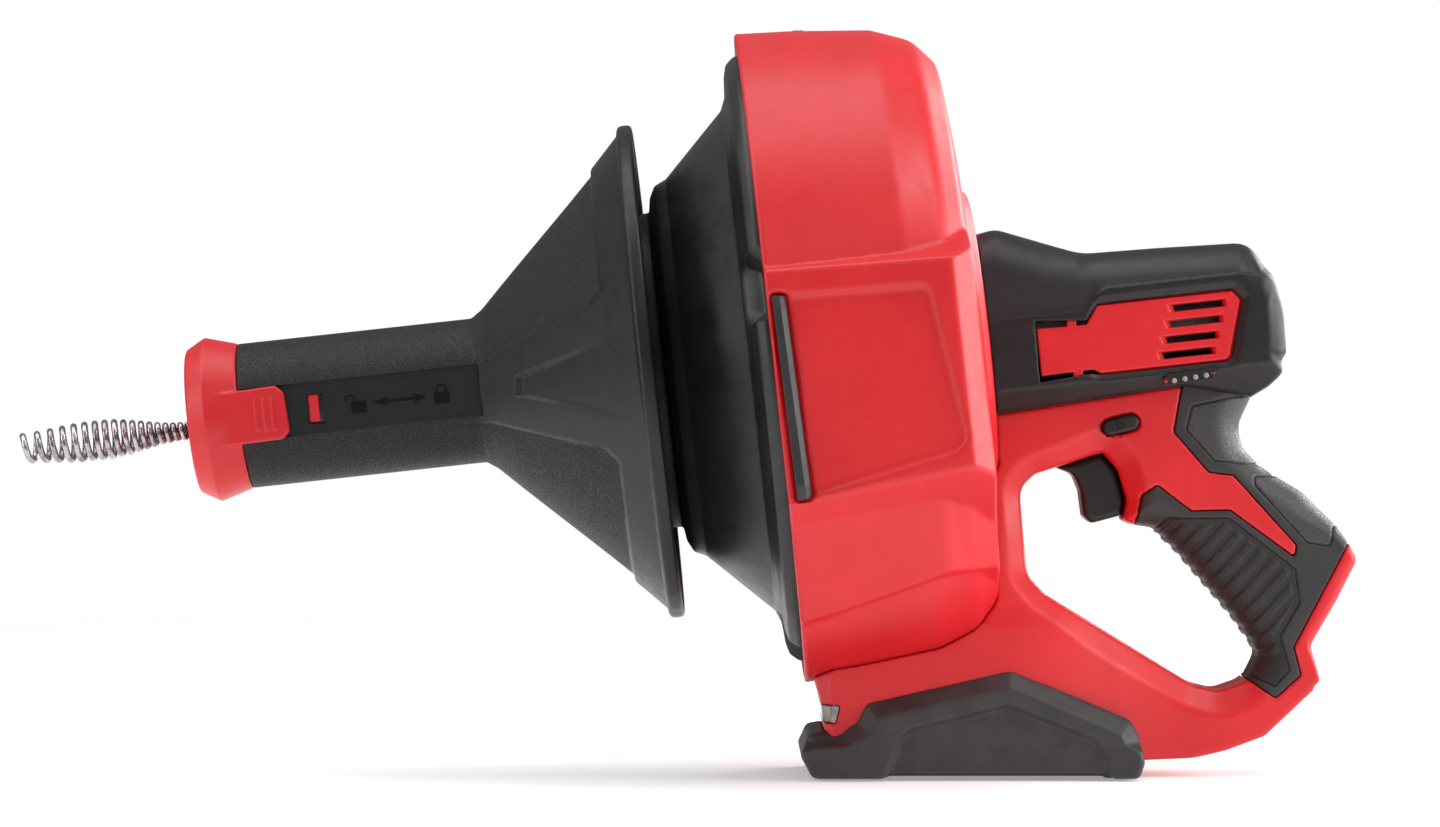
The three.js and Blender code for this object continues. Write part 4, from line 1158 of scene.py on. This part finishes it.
def overmould_field(x, y, z):
    body = handle_body(x, y, z)
    insert = polygon(INSERT_OUTLINE, x, z)
    pad = np.minimum(polygon(PAD_A, x, z), polygon(PAD_B, x, z))
    groove = 0.7 * np.exp(-((insert / GROOVE_WIDTH) ** 2)) + 0.65 * np.exp(-((pad / GROOVE_WIDTH) ** 2))
    across = x * math.sin(RIB_SLANT) - z * math.cos(RIB_SLANT)
    phase = np.abs((across / RIB_PITCH) % 1 - 0.5) * RIB_PITCH
    rib = ramp(phase, 1.0, 1.6) * ramp(-insert, 1.8, 2.4) * ramp(z, 42, 44)
    relief = groove + 0.3 * ramp(-insert, 0.4, 1.0) - RIB_HEIGHT * rib + 0.1 * ramp(-pad, 0.4, 1.0)
    skin = np.maximum(body + relief, polygon(OVERMOULD_OUTLINE, x, z) + 0.35 * ramp(body, -0.9, 0.1))
    skin = np.maximum(skin, -(body + SKIN - GAP))
    along, off = socket_distance(x, y, z)
    skin = np.maximum(skin, np.minimum(GAP + SOCKET_RADIUS - off, along - SOCKET_FLOOR))
    skin = np.maximum(skin, GAP - pill(x, z, 14.6, 7.1))
    skin = np.maximum(skin, -trigger_pocket(x, y, z))
    return both(skin, y + SPLIT, 0.3)


def overmould_material(x, y, z):
    """0 smooth, 1 leather pad, 2 ribbed insert, 3 the grooves round them, which get a near-black painted
    shade.
    """
    pad = np.minimum(polygon(PAD_A, x, z), polygon(PAD_B, x, z))
    insert = polygon(INSERT_OUTLINE, x, z)
    # A thin band along each pad and insert outline gets the near-black painted shade of the groove.
    groove = (np.abs(pad) < 0.33) | (np.abs(insert) < 0.33)
    return np.where(groove, 3, np.where(pad < 0, 1, np.where(insert < 0, 2, 0)))


def make_handle():
    low, high, step = (-57, -33.5, 3), (137.5, 0, 138), 0.72
    points, faces = surface_net(frame_field(False), low, high, step)
    show("handle_frame_left_moulding", points, faces, "handle_frame_left", "red_plastic")
    points, faces = surface_net(frame_field(True), low, high, step)
    show("handle_frame_right_moulding", *mirrored(points, faces), "handle_frame_right", "red_plastic")
    points, faces = surface_net(overmould_field, (56, -20.5, 27), (137.5, 0, 142), 0.42)
    looks = ("overmould", "leather_pad", "ribbed_rubber", "groove_black")
    show_pair("grip_overmould", "skin", points, faces, looks, choose=overmould_material)


# ------------------------------------------------------------------ trigger, direction switch and socket

TRIGGER_OUTLINE = filleted([
    (30.4, 108.6, 0.5), (36.2, 106.6, 5), (38.7, 100.5, 7), (39.9, 91.4, 2), (42.6, 88.9, 2),
    (53.6, 91.8, 1.5), (54.8, 96.5, 6), (51.4, 108, 7), (46.2, 113.8, 0.5),
])


def trigger_field(x, y, z):
    """The lever, and the plunger that runs from it into the switch module."""
    blade = both(polygon(TRIGGER_OUTLINE, x, z), np.abs(y) - TRIGGER_HALF, 2.2)
    along, across = turned(x, z, PLUNGER_PLACE, TRIGGER_TILT)
    plunger = both(np.hypot(y, across) - PLUNGER_RADIUS, np.maximum(along - PLUNGER_LENGTH, -along), 0.4)
    return either(blade, plunger, 0.5)


def make_trigger():
    points, faces = surface_net(trigger_field, (29, -9.5, 87), (71, 9.5, 118), 0.42)
    show("trigger_lever", points, faces, "trigger", "black_plastic")


def switch_field(x, y, z):
    dome = np.abs(y) - SWITCH_REACH + 0.00875 * (x - SWITCH_PLACE[0]) ** 2
    return both(pill(x, z, 13, 5.5), dome, 1.1)


def stroke(start, end, thickness):
    """A straight line of a pictogram, as a four-sided outline."""
    along = np.subtract(end, start) / np.linalg.norm(np.subtract(end, start))
    aside = np.array((-along[1], along[0])) * thickness / 2
    return [np.add(start, aside), np.subtract(start, aside), np.subtract(end, aside), np.add(end, aside)]


def joined_plates(outlines, y0, y1, rise=0.0):
    """Several flat plates as one mesh, each rise further out than the one before."""
    points, faces = [], []
    for i, outline in enumerate(outlines):
        more, sides = flat_plate([tuple(corner) for corner in outline], y0 - rise * i, y1)
        faces += [tuple(k + len(points) for k in side) for side in sides]
        points += more
    return points, faces


def make_direction_switch():
    points, faces = surface_net(switch_field, (44, -22, 119), (60, 22, 129), 0.36)
    show("direction_switch_button", points, faces, "direction_switch", "black_plastic")
    arrow = ((-1.3, -1.35), (1.5, 0), (-1.3, 1.35))
    corners = [turned_back(along, across, SWITCH_PLACE, SWITCH_TILT) for along, across in arrow]
    triangle = [stroke(a, b, 0.32) for a, b in zip(corners, corners[1:] + corners[:1])]
    for side, sign in (("left", -1), ("right", 1)):
        y0, y1 = sorted((sign * (SWITCH_REACH - 0.4), sign * (SWITCH_REACH + 0.06)))
        points, faces = joined_plates(triangle, y0, y1)
        show_mark(f"direction_mark_{side}", points, faces, "direction_switch", "pictogram")


def make_socket():
    """The open battery socket: a cup with a hole in its floor and a step inside its mouth."""
    floor_at = SOCKET_FLOOR + GAP
    wide = SOCKET_BORE + 0.5
    profile = filleted([
        (SOCKET_MOUTH, SOCKET_BORE, 0.5), (SOCKET_MOUTH, SOCKET_RADIUS, 0.5), (floor_at, SOCKET_RADIUS),
        (floor_at, 4), (SOCKET_FLOOR + 1.5, 4), (SOCKET_FLOOR + 1.5, SOCKET_BORE, 0.6), (24, SOCKET_BORE),
        (24.6, wide), (30, wide),
    ], 0.2)
    points, quads = lathe(profile, 96)
    along, y, across = points.T
    x, z = turned_back(along, across, SOCKET_PLACE, SOCKET_TILT)
    placed = np.stack([x, y, z], 1)
    soften(show("battery_socket_liner", placed, quads, "battery_socket", "inner_plastic"), 30)


# ------------------------------------------------------------------ motor cover

COVER_HALF = 29.5
COVER_WALL = 2.8
COVER_START = 76.9  # along the drive axis
COVER_OUTLINE = filleted([
    (-30, 191), (0, 191.2, 3), (8.6, 193.6, 9), (38.6, 184.7, 22), (66.1, 186.8, 40), (97.8, 188.7, 8),
    (103.2, 179.8, 1), (105.6, 177.2, 4), (109.2, 165, 30), (110.5, 149, 0.8), (108.9, 146.8, 0.4),
    (108.9, 142, 5), (104.3, 137.4, 5), (98.4, 133.7),
    (74.1, 137.6), (7.9, 127.3), (-30, 121.5),
])
VENT_POCKET = filleted([
    (21.2, 160.3), (39.6, 160.6), (43.3, 166.4, 0.5), (90.8, 171.8, 0.5), (94.1, 168.3, 0.5),
    (90.4, 147.6, 0.8), (88.8, 146.5, 0.5), (44.2, 141.5), (41.6, 142.2), (23.1, 138.9),
], 0.4)
VENT_PANEL = filleted([
    (21.9, 157.8, 0.3), (39.4, 159.3, 0.3), (43.1, 165.9), (90.5, 171.1), (93.4, 168.1), (89.8, 148.4, 0.8),
    (88.4, 147), (44.5, 142.2, 0.4), (42, 143.4, 0.4), (23.6, 141.0, 0.3),
], 0.6)
VENT_TABS = [(34.2, 159.6), (36.6, 141.8)]
GAUGE_OUTLINE = filleted([(67.2, 141.8), (85.2, 144.3), (84.1, 140.0), (65.9, 137.4)], 0.3)
VENT_SLOTS = [(78.5, 165.9), (77.3, 160.3), (76, 154.7), (74.8, 149.2)]
SLOT_ENDS = (-10.4, 10.2)
PANEL_FACE = 28.4
GAUGE_FACE = COVER_HALF - 0.35


def cover_body(x, y, z):
    """The motor cover as a filled body: flat sides, sloping shoulders, rounded top and rear."""
    u, r = drive_coordinates(x, z)
    reach = np.abs(y)
    outline = polygon(COVER_OUTLINE, x, z)
    side = reach - COVER_HALF
    step_up = ramp(u, 110.5, 121)
    crease = blend(4.4, 11.6, step_up)
    lean = blend(math.tan(math.radians(17)), math.tan(math.radians(31)), step_up)
    shoulder = sloped(side, r - crease, lean)
    low = sloped(side, -20.8 - r, 0.95)
    ledge = 1.0 * step_up * (1 - ramp(u, 171, 175))
    flank = either(both(side, r - crease, 0.4), both(side + ledge, shoulder + ledge, 0.6), 0.2)
    flank = both(flank, low, 0.6)
    edge = blend(13, 8.5, ramp(u, 100, 125)) * ramp(r, -14, 8) + 1.5
    edge = np.maximum(edge, 9.5 * ramp(x, 96, 106) * ramp(z, 140, 150))
    return meet(outline, (flank, edge), (COVER_START - u, 0.3))


def cover_field(right):
    def field(x, y, z):
        body = cover_body(x, y, z)
        pocket = polygon(VENT_POCKET, x, z)
        bevel = 2.7 * ramp(x, 38, 44)
        slope = 1.5 * np.clip((bevel - pocket) / np.maximum(bevel, 0.3), 0, 1) * ramp(-y, 20, 24)
        outside = body + slope
        recess = np.maximum(pocket, 25.2 - np.abs(y))
        outside = without(outside, recess, 0.25)
        if not right:
            gauge = np.maximum(polygon(GAUGE_OUTLINE, x, z) - 0.25, COVER_HALF - 1.3 - np.abs(y))
            outside = without(outside, gauge, 0.2)
        shell = without(outside, body + COVER_WALL + slope * 0.6)
        airway = np.maximum(np.maximum(66 - x, x - 88), np.maximum(146.5 - z, z - 168.6))
        u, r = drive_coordinates(x, z)
        rho = np.hypot(y, r)
        tools = np.minimum(airway, np.maximum(rho - 18.4, u - 90))
        tools = np.minimum(tools, np.maximum(rho - 24.3, u - 113))
        tools = np.minimum(tools, screw_seats(COVER_SCREWS, x, -y, z, right))
        shell = without(shell, tools, 0.3)
        shell = without(shell, grown_shroud(x, y, z, 0.25))
        return both(shell, y + SPLIT, 0.35)

    return field


def panel_field(x, y, z):
    outline = polygon(VENT_PANEL, x, z)
    for a, b in VENT_TABS:
        outline = np.minimum(outline, np.maximum(np.abs(x - a) - 1.7, np.abs(z - b) - 1.9))
    plate = both(both(outline, -PANEL_FACE - y, 0.5), y + PANEL_FACE - 2.4)
    flange = np.maximum(polygon(VENT_PANEL, x, z) - 2, np.maximum(44 - x, np.abs(y + 26.3) - 0.3))
    plate = np.minimum(plate, flange)
    for place in VENT_SLOTS:
        along, across = turned(x, z, place, AXIS_TILT)
        depth = np.clip(y + PANEL_FACE, 0, 2.6)
        left = SLOT_ENDS[0] - along - 0.35 * across + depth
        right = along - SLOT_ENDS[1] + 0.6 * depth
        slot = np.maximum(np.maximum(left, right), np.abs(across) - 1.45 + 0.2 * depth)
        plate = without(plate, slot, 0.2)
    return plate


def make_cover():
    low, high, step = (0, -30, 126), (113.5, 0, 194), 0.6
    points, faces = surface_net(cover_field(False), low, high, step)
    show("motor_cover_left_moulding", points, faces, "motor_cover_left", "black_plastic")
    points, faces = surface_net(cover_field(True), low, high, step)
    show("motor_cover_right_moulding", *mirrored(points, faces), "motor_cover_right", "black_plastic")
    points, faces = surface_net(panel_field, (21, -PANEL_FACE - 0.2, 138), (96, -PANEL_FACE + 2.6, 174), 0.35)
    show_pair("vent_panel", "plate", points, faces, "red_plastic")


def gauge_field(x, y, z):
    return both(both(polygon(GAUGE_OUTLINE, x, z), -GAUGE_FACE - y, 0.25), y + GAUGE_FACE - 0.8)


def make_gauge():
    """The charge gauge on the left: a plate with four lamps between a plus and a minus."""
    points, faces = surface_net(gauge_field, (65, -30, 136.5), (86, -28, 145), 0.2)
    show("fuel_gauge_plate", points, faces, "fuel_gauge_panel", "black_plastic")
    dome = filleted([(0.0, 0.001), (0.0, 0.95), (0.25, 0.93), (0.5, 0.6), (0.6, 0.001)], 0.1)
    points, quads = lathe(dome, 24)
    out, along, up = points.T
    for i in range(4):
        placed = np.stack([70.2 + 3.75 * i + along, -GAUGE_FACE - out, 139.55 + 0.62 * i + up], 1)
        lamp = show(f"gauge_lamp_{i + 1}", placed, quads, "fuel_gauge_panel", "lamp_grey", stands_in=False)
        soften(lamp, 50)
    minus = [oblong(84.0, 142.2, 0.7, 0.2)]
    plus = [oblong(67.3, 139.2, 0.8, 0.2), oblong(67.3, 139.2, 0.2, 0.8)]
    for name, bars in (("minus", minus), ("plus", plus)):
        points, faces = joined_plates(bars, -GAUGE_FACE - 0.07, -GAUGE_FACE + 0.3, rise=0.08)
        show_mark(f"gauge_{name}_mark", points, faces, "fuel_gauge_panel", "red_plastic")


# ------------------------------------------------------------------ boot, lens and screws

BOOT_OUTLINE = filleted([
    (-56.8, 0, 3.5), (-61.2, 8.2, 2.5), (-58.2, 15.6), (-46.6, 17.6), (-41.6, 19.6), (-37.9, 26.6),
    (12.6, 38.2, 4), (54.6, 20.4, 4), (57.4, 15.6, 4), (59.4, 6), (57.4, 0),
], 3)
BOOT_RECESS = filleted([
    (-33.4, -4, 0), (-25.9, 15.1, 3), (-22.8, 17.4, 3), (11.4, 26.0), (41.6, 13.9), (45.6, 8.8),
    (48.9, -4, 0),
], 4)
BOOT_RECESS_DEPTH = 2.3
BOOT_HALF = 39.6


def boot_field(x, y, z):
    reach = np.abs(y)
    outline = polygon(BOOT_OUTLINE, x, z)
    low_strip = ramp(z, 9, 13)
    bevel = 4.6 + 2.4 * ramp(-x, 42, 48)
    toe = (reach - BOOT_HALF - 0.55 * (x + 57)) * 0.87
    face = reach - BOOT_HALF + 0.02 * np.maximum(z - 4, 0)
    edge = both(both(outline, (outline + face + bevel * low_strip + 1.2) * math.sqrt(0.5), 0.8), face, 0.7)
    body = both(edge, toe, 2.5)
    recess = BOOT_RECESS_DEPTH * np.clip((0.9 - polygon(BOOT_RECESS, x, z)) / 2.0, 0, 1) * ramp(reach, 33, 35)
    lift = ramp(np.minimum(x + 31.5, 46 - x), 0, 1.6)  # the underside is 1 mm higher between its feet
    body = both(body + recess, lift - z, 0.8)
    seat = np.maximum(handle_body(x, y, z) - GAP, 3.1 - z)
    return without(body, seat, 0.3)


def lens_field(x, y, z):
    """The work light's window, 3.8 mm thick and just below the handle's surface."""
    body = handle_body(x, y, z)
    return np.maximum(np.maximum(body + 0.2, polygon(LENS_OUTLINE, x, z)), -(body + 4.0))


def make_foot():
    points, faces = surface_net(boot_field, (-62, -40.5, -0.5), (60, 40.5, 39), 0.66)
    show("foot_boot_moulding", points, faces, "foot_boot", "rubber")
    points, faces = surface_net(lens_field, (-57, -33.5, 18.5), (-46, 33.5, 27), 0.36)
    show("worklight_lens_moulding", points, faces, "worklight_lens", "lens")


def screw_field(x0, z0, seat):
    """A domed head with a six-lobed recess, on a threaded shank."""
    def field(x, y, z):
        rho = np.hypot(x - x0, z - z0)
        angle = np.arctan2(z - z0, x - x0)
        dome = y - seat - 2.4 + 0.05 * rho * rho
        head = both(both(rho - SCREW_HEAD, dome, 0.5), seat - y)
        thread = 0.12 * np.cos(2 * math.pi * y / THREAD_PITCH + angle)
        shank = both(rho - 1.5 - thread, np.maximum(y - seat - 1, -SCREW_LENGTH - y), 0.3)
        lobes = rho - 1.45 - 0.28 * np.cos(6 * angle)
        return without(np.minimum(head, shank), np.maximum(lobes, seat + 1.0 - y), 0.1)

    return field


def make_screws():
    half = SCREW_HEAD + 0.2
    for prefix, screws in (("cover_screw", COVER_SCREWS), ("frame_screw", FRAME_SCREWS)):
        for i, (x, z, face) in enumerate(screws):
            seat = face - SEAT_DEPTH + GAP
            low, high = (x - half, -SCREW_LENGTH - 0.5, z - half), (x + half, seat + 2.8, z + half)
            points, faces = surface_net(screw_field(x, z, seat), low, high, 0.22)
            show(f"{prefix}_{i + 1}_torx", points, faces, f"{prefix}_{i + 1}", "dark_steel")


# ------------------------------------------------------------------ everything

add_camera()
add_world()
add_lights()
add_floor()

make_shroud()
make_drum()
make_cable()
make_front_grip()
make_nose()
make_handle()
make_trigger()
make_direction_switch()
make_socket()
make_cover()
make_gauge()
make_foot()
make_screws()

for node, obj in frame["nodes"].items():
    if not obj.hide_render:
        obj.data.materials.clear()
        obj.data.materials.append(MATERIALS[SLOT_OF[node]])

bpy.context.scene.view_settings.view_transform = "Standard"
bpy.context.scene.view_settings.look = "None"
